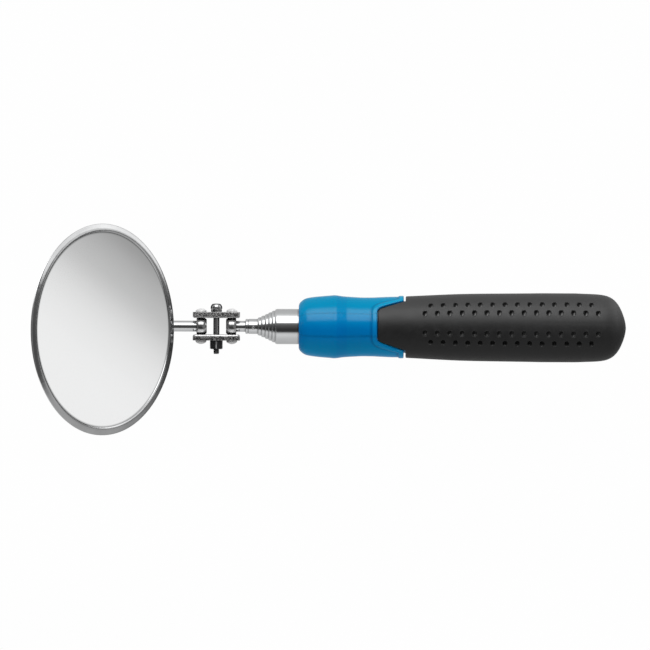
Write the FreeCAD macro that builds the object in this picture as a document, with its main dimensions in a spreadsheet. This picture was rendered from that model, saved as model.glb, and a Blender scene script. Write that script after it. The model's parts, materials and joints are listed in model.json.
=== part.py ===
import FreeCAD, Part
import math
import os
import Sketcher
from FreeCAD import Vector, Rotation, Placement

# Telescoping inspection mirror, millimetres.
# The tool's axis is X: the mirror is at -X, the butt of the handle at +X, and +Z is up.
# The origin is on that axis, at the middle of the grip's cylindrical clip seat.
# In the names, the front of a part is its -X end and the rear its +X end.

# ---------------------------------------------------------------- driving dimensions
TABLE = [
    # alias, value, what it is
    ("rim_od", 83.0, "mirror pan: outside diameter of the rolled rim"),
    ("rim_lip_id", 76.2, "mirror pan: diameter of the glass left showing"),
    ("pan_wall", 0.4, "mirror pan: sheet thickness"),
    ("pan_depth", 2.8, "mirror pan: back face to top of the rolled bead"),
    ("pan_floor_od", 76.4, "mirror pan: flat floor diameter"),
    ("bead_foot", 1.95, "mirror pan: height where the flared side ends"),
    ("flare_radius", 9.0, "mirror pan: bulge radius of the flared side"),
    ("bead_shoulder", 2.2, "mirror pan: height where the bead starts to roll over"),
    ("bead_outer_arc", 1.9, "mirror pan: arc radius from the shoulder to the crown"),
    ("bead_crown_r", 39.75, "mirror pan: radius of the bead's highest line"),
    ("bead_inner_arc", 2.6, "mirror pan: arc radius from the crown to the lip"),
    ("lip_drop", 2.42, "mirror pan: height of the lip's tip"),
    ("lip_width", 0.3, "mirror pan: width of the lip's sloping underside"),
    ("lip_slope", 0.05, "mirror pan: fall of the lip's underside over that width"),
    ("lip_root", 0.35, "mirror pan: lip's tip to its root on the glass"),
    ("bead_wall_top", 1.0, "mirror pan: radial thickness of the bead at the glass face"),
    ("bead_wall_foot", 0.9, "mirror pan: radial thickness of the bead at its foot"),
    ("disc_clear", 0.12, "mirror pan: radial clearance round the glass and its pad"),
    ("pan_drill", 1.6, "mirror pan: length of the cut for the rivet holes"),
    ("pad_thick", 0.3, "backing pad thickness"),
    ("pad_od", 76.8, "backing pad diameter"),
    ("glass_thick", 1.65, "glass thickness"),
    ("glass_od", 78.0, "glass diameter"),
    ("glass_chamfer", 0.2, "glass edge chamfer"),
    ("mirror_angle", 48.3, "angle between the stem and the glass, degrees"),
    ("mirror_centre_x", -180.01, "mirror pan: centre of the back face along X"),
    ("mirror_drop", 1.5, "mirror centre below the stem's axis"),
    ("stem_od", 4.3, "stem diameter"),
    ("stem_standoff", 4.0, "stem axis behind the pan's back face"),
    ("stem_bend_radius", 9.0, "stem bend radius, on its axis"),
    ("stem_run", 37.0, "stem: end of the bend to the pan's centre, along the stem"),
    ("stem_overrun", 9.0, "stem: length past the pan's centre"),
    ("stem_inset", 1.0, "stem: end inside the ball, past the ball's centre"),
    ("bracket_length", 18.0, "stem bracket: length along the stem"),
    ("bracket_foot_width", 17.0, "stem bracket: width over its feet"),
    ("bracket_foot_thick", 1.2, "stem bracket: thickness of its feet"),
    ("bracket_ridge_r", 3.3, "stem bracket: outside radius of the ridge round the stem"),
    ("bracket_drill", 6.0, "stem bracket: length of the cut for the rivet holes"),
    ("rivet_pitch_long", 10.0, "bracket rivets: spacing along the stem"),
    ("rivet_pitch_wide", 12.4, "bracket rivets: spacing across the stem"),
    ("rivet_shank_d", 1.6, "bracket rivets: shank diameter"),
    ("rivet_head_d", 3.0, "bracket rivets: head diameter"),
    ("rivet_head_thick", 0.7, "bracket rivets: head thickness"),
    ("ball_r", 3.55, "joint balls: radius"),
    ("ball_flat_stem", 1.75, "joint balls: centre to the flat on the rod side"),
    ("ball_flat_inner", 2.25, "joint balls: centre to the flat facing the screw"),
    ("ball_bore_depth", 1.0, "joint balls: blind bore past the centre"),
    ("ball_pitch", 12.1, "distance between the two balls"),
    ("clamp_centre_x", -134.25, "clamp: screw axis along X"),
    ("clamp_gap", 6.5, "clamp: gap between the two plates"),
    ("plate_length", 18.5, "clamp plate length"),
    ("plate_width", 8.6, "clamp plate width"),
    ("plate_thick", 2.35, "clamp plate thickness"),
    ("plate_corner", 1.4, "clamp plate corner radius"),
    ("plate_edge", 0.7, "clamp plate: rounding of the inner edge"),
    ("seat_clear", 0.03, "clamp plate: clearance between ball and seat"),
    ("dome_d", 4.2, "clamp plate: diameter of the pressed-out dome"),
    ("dome_rise", 1.4, "clamp plate: height of the dome"),
    ("dome_cap_share", 0.6, "clamp plate: part of the dome's height that is spherical"),
    ("dome_sink", 0.2, "clamp plate: overlap of the dome with the plate"),
    ("screw_d", 2.4, "clamp screw shank diameter"),
    ("screw_hole_d", 2.6, "clamp plate: screw hole diameter"),
    ("screw_head_d", 4.4, "clamp screw head diameter"),
    ("screw_head_thick", 2.1, "clamp screw head height"),
    ("screw_head_edge", 0.8, "clamp screw: rounding of the head"),
    ("screw_tail", 10.9, "clamp screw: end of the shank below the axis"),
    ("screw_chamfer", 0.25, "clamp screw: chamfer on the end of the shank"),
    ("screw_slot_w", 0.7, "clamp screw: slot width"),
    ("screw_slot_deep", 0.8, "clamp screw: slot depth"),
    ("washer_thick", 1.2, "clamp lock washer thickness"),
    ("washer_od", 4.3, "clamp lock washer outside diameter"),
    ("washer_bore", 2.56, "clamp lock washer bore"),
    ("washer_split", 12.0, "clamp lock washer: opening of its slit, degrees"),
    ("nut_flats", 5.0, "clamp nut across flats"),
    ("nut_thick", 3.2, "clamp nut: height of the hexagon"),
    ("nut_collar_d", 4.5, "clamp nut: diameter of the raised end face"),
    ("nut_collar_thick", 0.2, "clamp nut: height of the raised end face"),
    ("nut_bore", 2.46, "clamp nut bore"),
    ("rod_d", 4.3, "ball rod diameter"),
    ("rod_rear_x", -113.0, "ball rod: rear end along X"),
    ("ferrule_front_x", -122.85, "tip ferrule: front face along X"),
    ("ferrule_d", 5.9, "tip ferrule diameter"),
    ("ferrule_edge", 0.4, "tip ferrule: rounding of the front edge"),
    ("ferrule_chamfer", 0.15, "tip ferrule: chamfer at the shoulder against the last tube"),
    ("ferrule_spigot", 8.0, "tip ferrule: length of the spigot inside the last tube"),
    ("crimp_x", -119.75, "last tube: crimp marks along X"),
    ("crimp_d", 1.1, "last tube: crimp mark diameter"),
    ("crimp_shift", 0.6, "last tube: crimp marks off the axis, along Z"),
    ("crimp_start", 0.3, "last tube: start of the crimp cut outside the surface"),
    ("crimp_depth", 0.15, "last tube: depth of the crimp marks"),
    ("tube_od", 13.85, "tube one: outside diameter"),
    ("od_step", 1.32, "tubes: each outside diameter less the next one's"),
    ("wall", 0.35, "tube wall"),
    ("lip_length", 1.2, "tubes: length of the rolled-in mouth"),
    ("lip_edge", 0.3, "tubes: rounding of the mouth"),
    ("slide_clear", 0.03, "tubes: radial running clearance"),
    ("travel", 107.0, "travel of each sliding tube"),
    ("bush_stop", 0.1, "friction bush: gap left to the lip at full travel"),
    ("bush_length", 13.5, "friction bush length"),
    ("bush_split", 12.0, "friction bush: opening of its slit, degrees"),
    ("tube_tail", 0.3, "tube end behind its friction bush"),
    ("tube_one_rear_x", 14.0, "fixed tube: rear end along X"),
    ("plug_spigot", 2.0, "end plug: length inside the fixed tube"),
    ("plug_flange", 1.2, "end plug: flange thickness"),
    ("plug_inset", 0.1, "end plug: flange radius inside the fixed tube's"),
    ("sleeve_r", 10.2, "handle core: radius under the grip"),
    ("sleeve_front_x", -82.0, "handle core: front of the inner sleeve"),
    ("sleeve_rear_x", 20.0, "handle core: rear end along X"),
    ("core_bore_end_x", 15.4, "handle core: end of the bore along X"),
    ("collar_end_x", -61.0, "handle core: end of the two arms along X"),
    ("notch_bottom_x", -71.1, "handle core: bottom of the notch along X"),
    ("notch_half", 7.1, "handle core: half width of the notch at its bottom"),
    ("notch_half_extra", 0.25, "handle core: added half width where the corner ends"),
    ("notch_half_open", 9.5, "handle core: half width of the notch at the arms' tips"),
    ("notch_open_extra", 0.9, "handle core: added half width where the cut ends"),
    ("notch_overrun", 3.0, "handle core: notch cut past the arms' tips"),
    ("notch_corner", 2.2, "handle core: notch corner size"),
    ("notch_arc_extra", 0.35, "handle core: notch corner's arc radius over its size"),
    ("notch_gap", 0.3, "gap between the grip's tongue and the notch"),
    ("arm_cut_reach", 20.0, "grip: outer limit of the arm clearance from the axis"),
    ("arm_cut_split", 0.01, "grip: arm clearance from the axis, ahead of the tongue"),
    ("grip_fit", 0.04, "grip: bonding gap round the sleeve"),
    ("tongue_r", 11.85, "grip: radius over the tongues"),
    ("seat_r", 13.56, "grip: radius of the clip seat"),
    ("seat_half", 6.0, "grip: half length of the clip seat"),
    ("grip_end_x", 26.7, "grip: rear end along X"),
    ("handle_clock", -4.0, "handle turned about X, degrees"),
    ("cross_cut_length", 60.0, "handle: full length of the cuts along Y"),
    ("overcut", 1.0, "cuts: length past the surface they start from"),
]

# Front end of each tube along X, from the fixed tube to the last one.
TUBE_MOUTH = [-111.2, -112.5, -113.85, -115.2, -116.65, -118.05, -121.6]

# Turned outlines of the handle: distance along X, radius.
PROFILES = {
    # collar of the handle core
    "collar": [
        (-101.9, 8.9), (-101.3, 10.2), (-100.3, 10.95), (-98.9, 11.35), (-96.7, 11.63),
        (-94.3, 11.93), (-92.0, 12.1), (-89.6, 12.28), (-87.6, 12.42), (-84.9, 12.1),
        (-82.5, 11.93), (-80.2, 11.71), (-76.6, 11.51), (-73.1, 11.59), (-70.7, 11.75),
        (-68.4, 11.87), (-65.0, 11.98)],
    # grip ahead of the clip seat, starting at its front shoulder
    "front": [
        (-60.6, 11.95), (-60.0, 12.12), (-54.2, 12.38), (-49.5, 12.62), (-44.8, 12.85),
        (-40.1, 13.08), (-35.4, 13.2), (-30.7, 13.28), (-21.2, 13.37), (-11.8, 13.47)],
    # grip behind the clip seat
    "rear": [
        (9.5, 13.38), (14.0, 13.26), (16.9, 13.15), (18.9, 12.85), (20.6, 12.2),
        (22.2, 11.2), (23.6, 9.65), (24.9, 7.3), (25.9, 4.3)],
}

for i, mouth_x in enumerate(TUBE_MOUTH, start=1):
    TABLE.append(("mouth_%d" % i, mouth_x, "tube %d: front end along X" % i))
for name, profile in PROFILES.items():
    for i, (x, radius) in enumerate(profile):
        TABLE.append(("%s_x_%02d" % (name, i), x, name + " profile: station along X"))
        TABLE.append(("%s_r_%02d" % (name, i), radius, name + " profile: radius"))


# ---------------------------------------------------------------- sizes tied to the sheet
class Size:
    """A size: its number now, and the expression that ties it to the sheet."""

    def __init__(self, value, text):
        self.value = float(value)
        self.text = text

    def __add__(self, other):
        other = sized(other)
        return Size(self.value + other.value, "(%s + %s)" % (self.text, other.text))

    def __sub__(self, other):
        other = sized(other)
        return Size(self.value - other.value, "(%s - %s)" % (self.text, other.text))

    def __rsub__(self, other):
        return sized(other) - self

    def __mul__(self, other):
        other = sized(other)
        return Size(self.value * other.value, "(%s * %s)" % (self.text, other.text))

    def __truediv__(self, other):
        other = sized(other)
        return Size(self.value / other.value, "(%s / %s)" % (self.text, other.text))

    def __neg__(self):
        return Size(-self.value, "(0 - %s)" % self.text)


def sized(number):
    return number if isinstance(number, Size) else Size(number, "(%r)" % float(number))


def root(size):
    return Size(math.sqrt(size.value), "sqrt(%s)" % size.text)


def sine(angle):
    return Size(math.sin(math.radians(angle.value)), "sin(%s * 1 deg)" % angle.text)


def cosine(angle):
    return Size(math.cos(math.radians(angle.value)), "cos(%s * 1 deg)" % angle.text)


class Dims:
    """Holds every alias of the sheet as a Size."""


ZERO = sized(0)
FULL_TURN = sized(360)
dims = Dims()
doc = FreeCAD.newDocument("InspectionMirror")
sheet = doc.addObject("Spreadsheet::Sheet", "dims")
for row, (alias, value, note) in enumerate(TABLE, start=1):
    sheet.set("A%d" % row, note)
    sheet.set("B%d" % row, str(value))
    sheet.setAlias("B%d" % row, alias)
    setattr(dims, alias, Size(value, "dims." + alias))
doc.recompute()


def stations(name):
    """Points of one of the PROFILES, as sizes."""
    return [(getattr(dims, "%s_x_%02d" % (name, i)), getattr(dims, "%s_r_%02d" % (name, i)))
            for i in range(len(PROFILES[name]))]


def tie(thing, path, size):
    """Bind a property to the sheet, unless its size is a plain number."""
    if "dims." in size.text:
        thing.setExpression(path, size.text)


# ---------------------------------------------------------------- sketch helpers
bodies = []


def new_body(label):
    body = doc.addObject("PartDesign::Body", label)
    body.AllowCompound = True
    bodies.append(body)
    return body


def base_plane(body, role):
    return next(f for f in body.Origin.OriginFeatures if f.Role == role)


def new_sketch(body, name, plane):
    sketch = body.newObject("Sketcher::SketchObject", name)
    sketch.AttachmentSupport = [(base_plane(body, plane), "")]
    sketch.MapMode = "FlatFace"
    return sketch


def shift(sketch, axis, size):
    """Move a sketch from its plane's origin along its own x or z."""
    x, z = (size.value, 0) if axis == "x" else (0, size.value)
    sketch.AttachmentOffset = Placement(Vector(x, 0, z), Rotation())
    tie(sketch, "AttachmentOffset.Base." + axis, size)


def fix_size(sketch, kind, place_args, size):
    """Add a dimension to the sketch and tie it to the sheet."""
    index = sketch.addConstraint(Sketcher.Constraint(kind, *place_args, size.value))
    name = "%s_%d" % (kind, index)
    sketch.renameConstraint(index, name)
    tie(sketch, "Constraints." + name, size)


def fix_point(sketch, geometry, end, x, y):
    """Fix a point by its distances from the origin, or put it on an axis (-2 is V, -1 is H)."""
    for kind, size, axis in (("DistanceX", x, -2), ("DistanceY", y, -1)):
        if abs(size.value) < 1e-9:
            sketch.addConstraint(Sketcher.Constraint("PointOnObject", geometry, end, axis))
        else:
            fix_size(sketch, kind, (-1, 1, geometry, end), size)


def arc_middle(start, end, radius, side):
    """Middle of the minor arc, bulging to the left (+1) or right (-1) of travel."""
    chord = end - start
    sag = radius - math.sqrt(max(radius ** 2 - (chord.Length / 2) ** 2, 0.0))
    return (start + end) * 0.5 + Vector(-chord.y, chord.x, 0).normalize() * (side * sag)


def loop(sketch, points, closed=True):
    """Chain of lines and arcs. A point is (x, y) or (x, y, radius, side), where radius and side
    make the segment that leaves the point an arc."""
    corners = [Vector(point[0].value, point[1].value, 0) for point in points]
    segments = []  # geometry index, its end where travel starts, its end where travel stops
    for i in range(len(points) if closed else len(points) - 1):
        start, end = corners[i], corners[(i + 1) % len(points)]
        if len(points[i]) > 2:
            middle = arc_middle(start, end, points[i][2].value, points[i][3])
            geometry = sketch.addGeometry(Part.Arc(start, middle, end), False)
            # The sketcher may store the arc the other way round.
            first = sketch.getPoint(geometry, 1)
            forward = (first - start).Length < (first - end).Length
            segments.append((geometry, 1, 2) if forward else (geometry, 2, 1))
        else:
            geometry = sketch.addGeometry(Part.LineSegment(start, end), False)
            segments.append((geometry, 1, 2))
    followers = segments[1:] + (segments[:1] if closed else [])
    for (geometry, _, end), (follower, start, _) in zip(segments, followers):
        sketch.addConstraint(
            Sketcher.Constraint("Coincident", geometry, end, follower, start))
    starts = [(geometry, start) for geometry, start, _ in segments]
    if not closed:
        starts.append((segments[-1][0], segments[-1][2]))
    for point, (geometry, start) in zip(points, starts):
        fix_point(sketch, geometry, start, point[0], point[1])
        if len(point) > 2:
            fix_size(sketch, "Radius", (geometry,), point[2])


def circle(sketch, radius, x=ZERO, y=ZERO):
    shape = Part.Circle(Vector(x.value, y.value, 0), Vector(0, 0, 1), radius.value)
    geometry = sketch.addGeometry(shape, False)
    fix_point(sketch, geometry, 3, x, y)
    fix_size(sketch, "Radius", (geometry,), radius)


# ---------------------------------------------------------------- feature helpers
def turn(body, name, outline, made="_turned", axis="X", angle=FULL_TURN, kind="Revolution",
         shift_x=None):
    """Turn an outline about X (points are x, radius) or about Z (points are radius, z)."""
    plane, line = ("XY_Plane", "H_Axis") if axis == "X" else ("XZ_Plane", "V_Axis")
    sketch = new_sketch(body, name + "_section", plane)
    loop(sketch, outline)
    if shift_x is not None:
        shift(sketch, "x", shift_x)
    feature = body.newObject("PartDesign::" + kind, name + made)
    feature.Profile = sketch
    feature.ReferenceAxis = (sketch, [line])
    feature.Angle = angle.value
    tie(feature, "Angle", angle)
    body.Tip = feature
    return feature


def extrude(body, sketch, name, length, kind="Pad", both_ways=False, reverse=False):
    feature = body.newObject("PartDesign::" + kind, name)
    feature.Profile = sketch
    feature.Length = length.value
    tie(feature, "Length", length)
    if both_ways:
        # Builds without SideType have the older Midplane switch.
        if hasattr(feature, "SideType"):
            feature.SideType = "Symmetric"
        else:
            feature.Midplane = True
    feature.Reversed = reverse
    body.Tip = feature
    return feature


def cross_cut(body, sketch, name):
    """Cut right through a handle part along Y. A cut that misses the part is an error."""
    doc.recompute()
    before = body.Shape.Volume
    extrude(body, sketch, name, dims.cross_cut_length, kind="Pocket", both_ways=True)
    doc.recompute()
    if not body.Shape.Volume < before - 50:
        raise RuntimeError(name + " cut nothing")


def place(body, x=ZERO, y=ZERO, z=ZERO, rotation=Rotation()):
    body.Placement = Placement(Vector(x.value, y.value, z.value), rotation)
    for axis, size in (("x", x), ("y", y), ("z", z)):
        tie(body, "Placement.Base." + axis, size)


# ---------------------------------------------------------------- telescoping tubes
# Tube 1 is the fixed, outermost one; tube 7 is the last and thinnest.
LAST = len(TUBE_MOUTH)
tube_r = {i: (dims.tube_od - dims.od_step * (i - 1)) / 2 for i in range(1, LAST + 1)}
bore_r = {i: tube_r[i] - dims.wall for i in tube_r}
mouth = {i: getattr(dims, "mouth_%d" % i) for i in tube_r}
# A tube's bush stops against the lip of the tube outside it at the end of the travel.
bush_x = {i: mouth[i - 1] + dims.lip_length + dims.travel + dims.bush_stop
          for i in range(2, LAST + 1)}
tube_rear = {i: bush_x[i] + dims.bush_length + dims.tube_tail for i in bush_x}
tube_rear[1] = dims.tube_one_rear_x


def build_tube(i):
    """Tube with its mouth rolled in round the next tube; the last one is plain."""
    body = new_body("tube_%d" % i)
    front, rear, outer, bore = mouth[i], tube_rear[i], tube_r[i], bore_r[i]
    if i == LAST:
        outline = [(front, bore), (rear, bore), (rear, outer), (front, outer)]
    else:
        edge = dims.lip_edge
        lip_r = tube_r[i + 1] + dims.slide_clear
        lip_end = front + dims.lip_length
        outline = [(front, lip_r), (lip_end, lip_r), (lip_end, bore), (rear, bore),
                   (rear, outer), (front + edge, outer, edge, 1), (front, outer - edge)]
    turn(body, "tube_%d" % i, outline)
    return body


def crimp(tube):
    """Shallow round marks that lock the ferrule, on the -Y and then the +Y side of the tube."""
    for i, side in enumerate((1, -1)):
        sketch = new_sketch(tube, "crimp_%d" % i, "XZ_Plane")
        circle(sketch, dims.crimp_d / 2, dims.crimp_x, dims.crimp_shift * -side)
        shift(sketch, "z", (tube_r[LAST] + dims.crimp_start) * side)
        extrude(tube, sketch, "crimp_mark_%d" % i, dims.crimp_start + dims.crimp_depth,
                kind="Pocket", reverse=side < 0)


def build_bush(i):
    """Split brass friction bush carried on the rear of a sliding tube."""
    body = new_body("tube_%d_bush" % i)
    inner = tube_r[i] + dims.slide_clear if i == LAST else tube_r[i]
    outer = bore_r[i - 1] - dims.slide_clear
    front, rear = bush_x[i], bush_x[i] + dims.bush_length
    turn(body, "bush_%d" % i, [(front, inner), (rear, inner), (rear, outer), (front, outer)],
         angle=360 - dims.bush_split)


def build_end_plug():
    """Plug in the rear end of the fixed tube."""
    seam = dims.tube_one_rear_x
    front, rear = seam - dims.plug_spigot, seam + dims.plug_flange
    flange_r = tube_r[1] - dims.plug_inset
    turn(new_body("tube_end_plug"), "plug",
         [(front, ZERO), (front, bore_r[1]), (seam, bore_r[1]), (seam, flange_r),
          (rear, flange_r), (rear, ZERO)])


# ---------------------------------------------------------------- handle core and grip
# Half outline of the notch, seen along Y: flat bottom, corner arc, straight side.
notch_flat = dims.notch_half - dims.notch_corner
notch_arc = dims.notch_corner + dims.notch_arc_extra
notch_side_x = dims.notch_bottom_x + dims.notch_corner
notch_side = dims.notch_half + dims.notch_half_extra
notch_end_x = dims.collar_end_x + dims.notch_overrun
notch_end = dims.notch_half_open + dims.notch_open_extra


def turn_handle(body):
    place(body, rotation=Rotation(Vector(1, 0, 0), dims.handle_clock.value))
    tie(body, "Placement.Rotation.Angle", dims.handle_clock)


def build_handle_core():
    """Collar with a notch on the -Y and +Y sides, and the sleeve that carries the grip."""
    body = new_body("handle_core")
    collar = stations("collar")
    end_x = dims.collar_end_x
    turn(body, "collar", [(collar[0][0], tube_r[1])] + collar
         + [(end_x, collar[-1][1]), (end_x, tube_r[1])])
    # The U-shaped notch leaves an arm above and an arm below.
    bottom_x = dims.notch_bottom_x
    sketch = new_sketch(body, "notch_outline", "XZ_Plane")
    loop(sketch, [(notch_side_x, -notch_side), (notch_end_x, -notch_end),
                  (notch_end_x, notch_end), (notch_side_x, notch_side, notch_arc, -1),
                  (bottom_x, notch_flat), (bottom_x, -notch_flat, notch_arc, -1)])
    cross_cut(body, sketch, "notch_cut")
    front, rear, bore_end = dims.sleeve_front_x, dims.sleeve_rear_x, dims.core_bore_end_x
    turn(body, "sleeve", [(front, tube_r[1]), (front, dims.sleeve_r), (rear, dims.sleeve_r),
                          (rear, ZERO), (bore_end, ZERO), (bore_end, tube_r[1])])
    turn_handle(body)


def build_grip():
    """Grip over the sleeve, with a tongue reaching forward into each notch of the core."""
    body = new_body("grip")
    front, rear = stations("front"), stations("rear")
    shoulder_x = front[0][0]
    gap = dims.notch_gap
    tip_x = dims.notch_bottom_x + gap
    bore = dims.sleeve_r + dims.grip_fit
    bore_end = dims.sleeve_rear_x + dims.grip_fit
    turn(body, "grip", [(tip_x, bore), (tip_x, dims.tongue_r), (shoulder_x, dims.tongue_r)]
         + front + [(-dims.seat_half, dims.seat_r), (dims.seat_half, dims.seat_r)] + rear
         + [(dims.grip_end_x, ZERO), (bore_end, ZERO), (bore_end, bore)])
    # Clear the core's upper and lower arms; what is left between them is the tongues.
    slope = (notch_end - notch_side) / (notch_end_x - notch_side_x)
    tongue_side = notch_side - gap
    tongue_root = tongue_side + slope * (shoulder_x - notch_side_x)
    start_x = tip_x - dims.overcut
    reach, split = dims.arm_cut_reach, dims.arm_cut_split
    sketch = new_sketch(body, "arm_clearance", "XZ_Plane")
    for side in (1, -1):
        loop(sketch, [(start_x, reach * side), (start_x, split * side), (tip_x, split * side),
                      (tip_x, (notch_flat - gap) * side, notch_arc, side),
                      (notch_side_x, tongue_side * side), (shoulder_x, tongue_root * side),
                      (shoulder_x, reach * side)])
    cross_cut(body, sketch, "arm_clearance_cut")
    turn_handle(body)


# ---------------------------------------------------------------- tip and joint balls
rod_ball_x = dims.clamp_centre_x + dims.ball_pitch / 2
mirror_ball_x = dims.clamp_centre_x - dims.ball_pitch / 2


def build_ferrule():
    """Ferrule in the mouth of the last tube, round the ball rod."""
    front, seam = dims.ferrule_front_x, mouth[LAST]
    rear = seam + dims.ferrule_spigot
    outer, bore = dims.ferrule_d / 2, dims.rod_d / 2
    edge, chamfer = dims.ferrule_edge, dims.ferrule_chamfer
    turn(new_body("tip_ferrule"), "ferrule",
         [(front, bore), (front, outer - edge, edge, 1), (front + edge, outer),
          (seam - chamfer, outer), (seam, outer - chamfer), (seam, bore_r[LAST]),
          (rear, bore_r[LAST]), (rear, bore)])


def build_ball_rod():
    front, rear, radius = rod_ball_x - dims.ball_bore_depth, dims.rod_rear_x, dims.rod_d / 2
    turn(new_body("ball_rod"), "rod",
         [(front, ZERO), (front, radius), (rear, radius), (rear, ZERO)])


def build_ball(label, clearance):
    """Drilled ball, its rod on the local +X side: two flats and a blind bore for the rod."""
    body = new_body(label)
    radius, outer_x, inner_x = dims.ball_r, dims.ball_flat_stem, dims.ball_flat_inner
    outer_r = root(radius * radius - outer_x * outer_x)
    inner_r = root(radius * radius - inner_x * inner_x)
    bore = dims.rod_d / 2 + clearance
    depth = dims.ball_bore_depth + clearance
    turn(body, label, [(-inner_x, ZERO), (-inner_x, inner_r, radius, 1),
                       (ZERO, radius, radius, 1), (outer_x, outer_r), (outer_x, bore),
                       (-depth, bore), (-depth, ZERO)])
    return body


# ---------------------------------------------------------------- clamp
plate_top = dims.clamp_gap / 2 + dims.plate_thick
UPSIDE_DOWN = Rotation(Vector(1, 0, 0), 180)


def press_pair(body, name, kind, outline):
    """Turned shape over one ball, then mirrored over the other."""
    feature = turn(body, name, outline, made="", axis="Z", kind=kind,
                   shift_x=dims.ball_pitch / 2)
    doc.recompute()
    pair = body.newObject("PartDesign::Mirrored", name + "_pair")
    pair.Originals = [feature]
    pair.MirrorPlane = (base_plane(body, "YZ_Plane"), [""])
    body.Tip = pair
    doc.recompute()


def build_clamp_plate(label):
    """Outward is local +Z; the inner face is local z = 0, and the screw is on local Z."""
    body = new_body(label)
    end, side, corner = dims.plate_length / 2, dims.plate_width / 2, dims.plate_corner
    sketch = new_sketch(body, label + "_outline", "XY_Plane")
    loop(sketch, [(-end + corner, -side), (end - corner, -side, corner, -1),
                  (end, -side + corner), (end, side - corner, corner, -1),
                  (end - corner, side), (-end + corner, side, corner, -1),
                  (-end, side - corner), (-end, -side + corner, corner, -1)])
    thick = dims.plate_thick
    blank = extrude(body, sketch, label + "_blank", thick)
    doc.recompute()
    # Round the edges that lie in the inner face.
    inner_edges = ["Edge%d" % i for i, edge in enumerate(blank.Shape.Edges, start=1)
                   if edge.BoundBox.ZMax < 1e-4 and edge.BoundBox.ZMin > -1e-4]
    fillet = body.newObject("PartDesign::Fillet", label + "_inner_edge")
    fillet.Base = (blank, inner_edges)
    fillet.Radius = dims.plate_edge.value
    tie(fillet, "Radius", dims.plate_edge)
    body.Tip = fillet
    doc.recompute()
    sketch = new_sketch(body, label + "_hole_outline", "XY_Plane")
    circle(sketch, dims.screw_hole_d / 2)
    extrude(body, sketch, label + "_hole", thick * 4, kind="Pocket", both_ways=True)
    # Dome: a short cylinder under a spherical cap.
    radius = dims.dome_d / 2
    base, top = thick - dims.dome_sink, thick + dims.dome_rise
    cap = dims.dome_rise * dims.dome_cap_share
    cap_r = (radius * radius + cap * cap) / (cap * 2)
    press_pair(body, label + "_dome", "Revolution",
               [(ZERO, base), (radius, base), (radius, top - cap, cap_r, -1), (ZERO, top)])
    # Spherical seat, centred on the ball.
    centre = -(dims.clamp_gap / 2)
    seat = dims.ball_r + dims.seat_clear
    press_pair(body, label + "_seat", "Groove",
               [(ZERO, centre), (ZERO, centre + seat, seat, 1), (seat, centre)])
    return body


def build_lock_washer():
    body = new_body("clamp_lock_washer")
    bore, outer, top = dims.washer_bore / 2, dims.washer_od / 2, dims.washer_thick
    turn(body, "washer", [(bore, ZERO), (outer, ZERO), (outer, top), (bore, top)],
         axis="Z", angle=360 - dims.washer_split)
    place(body, x=dims.clamp_centre_x, z=plate_top)


def build_screw():
    """Slotted screw, its head on top of the washer and its slot along X."""
    body = new_body("clamp_screw")
    tail, chamfer, shank = -dims.screw_tail, dims.screw_chamfer, dims.screw_d / 2
    head, edge = dims.screw_head_d / 2, dims.screw_head_edge
    seat = plate_top + dims.washer_thick
    top = seat + dims.screw_head_thick
    turn(body, "screw", [(ZERO, tail), (shank - chamfer, tail), (shank, tail + chamfer),
                         (shank, seat), (head, seat), (head, top - edge, edge, -1),
                         (head - edge, top), (ZERO, top)], axis="Z")
    slot, bottom, above = dims.screw_slot_w / 2, top - dims.screw_slot_deep, top + dims.overcut
    sketch = new_sketch(body, "slot_outline", "YZ_Plane")
    loop(sketch, [(-slot, bottom), (slot, bottom), (slot, above), (-slot, above)])
    extrude(body, sketch, "slot_cut", dims.screw_head_d * 2, kind="Pocket", both_ways=True)
    place(body, x=dims.clamp_centre_x)


def build_nut():
    """Hexagon nut under the lower plate, with a raised round end face below."""
    body = new_body("clamp_nut")
    corner_r = dims.nut_flats / math.sqrt(3)
    angles = [math.radians(30 + 60 * i) for i in range(6)]
    sketch = new_sketch(body, "hexagon", "XY_Plane")
    loop(sketch, [(corner_r * math.cos(angle), corner_r * math.sin(angle))
                  for angle in angles])
    circle(sketch, dims.nut_bore / 2)
    extrude(body, sketch, "nut_hexagon", dims.nut_thick)
    sketch = new_sketch(body, "collar_outline", "XY_Plane")
    circle(sketch, dims.nut_collar_d / 2)
    circle(sketch, dims.nut_bore / 2)
    extrude(body, sketch, "nut_collar", dims.nut_thick + dims.nut_collar_thick)
    place(body, x=dims.clamp_centre_x, z=-plate_top, rotation=UPSIDE_DOWN)


# ---------------------------------------------------------------- mirror head
# The stem leaves its ball along -X, bends towards -Y by the mirror angle and runs behind the pan.
sin_tilt, cos_tilt = sine(dims.mirror_angle), cosine(dims.mirror_angle)
bend_r = dims.stem_bend_radius
bend_y = -(bend_r * (1 - cos_tilt))  # end of the bend
pan_y = bend_y - dims.stem_run * sin_tilt - dims.stem_standoff * cos_tilt

# The pan's own frame: origin at the centre of its back face, +Z is the way the glass looks,
# +X runs outwards along the stem, and +Y is down.
PAN_TURN = Rotation(Vector(-cos_tilt.value, -sin_tilt.value, 0), Vector(0, 0, -1),
                    Vector(sin_tilt.value, -cos_tilt.value, 0), "ZXY")
pad_top = dims.pan_wall + dims.pad_thick
glass_top = pad_top + dims.glass_thick
stem_y = -dims.mirror_drop  # the stem's axis in the pan's frame
rivet_x, rivet_y = dims.rivet_pitch_long / 2, dims.rivet_pitch_wide / 2


def place_on_pan(body):
    place(body, x=dims.mirror_centre_x, y=pan_y, z=-dims.mirror_drop, rotation=PAN_TURN)


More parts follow.
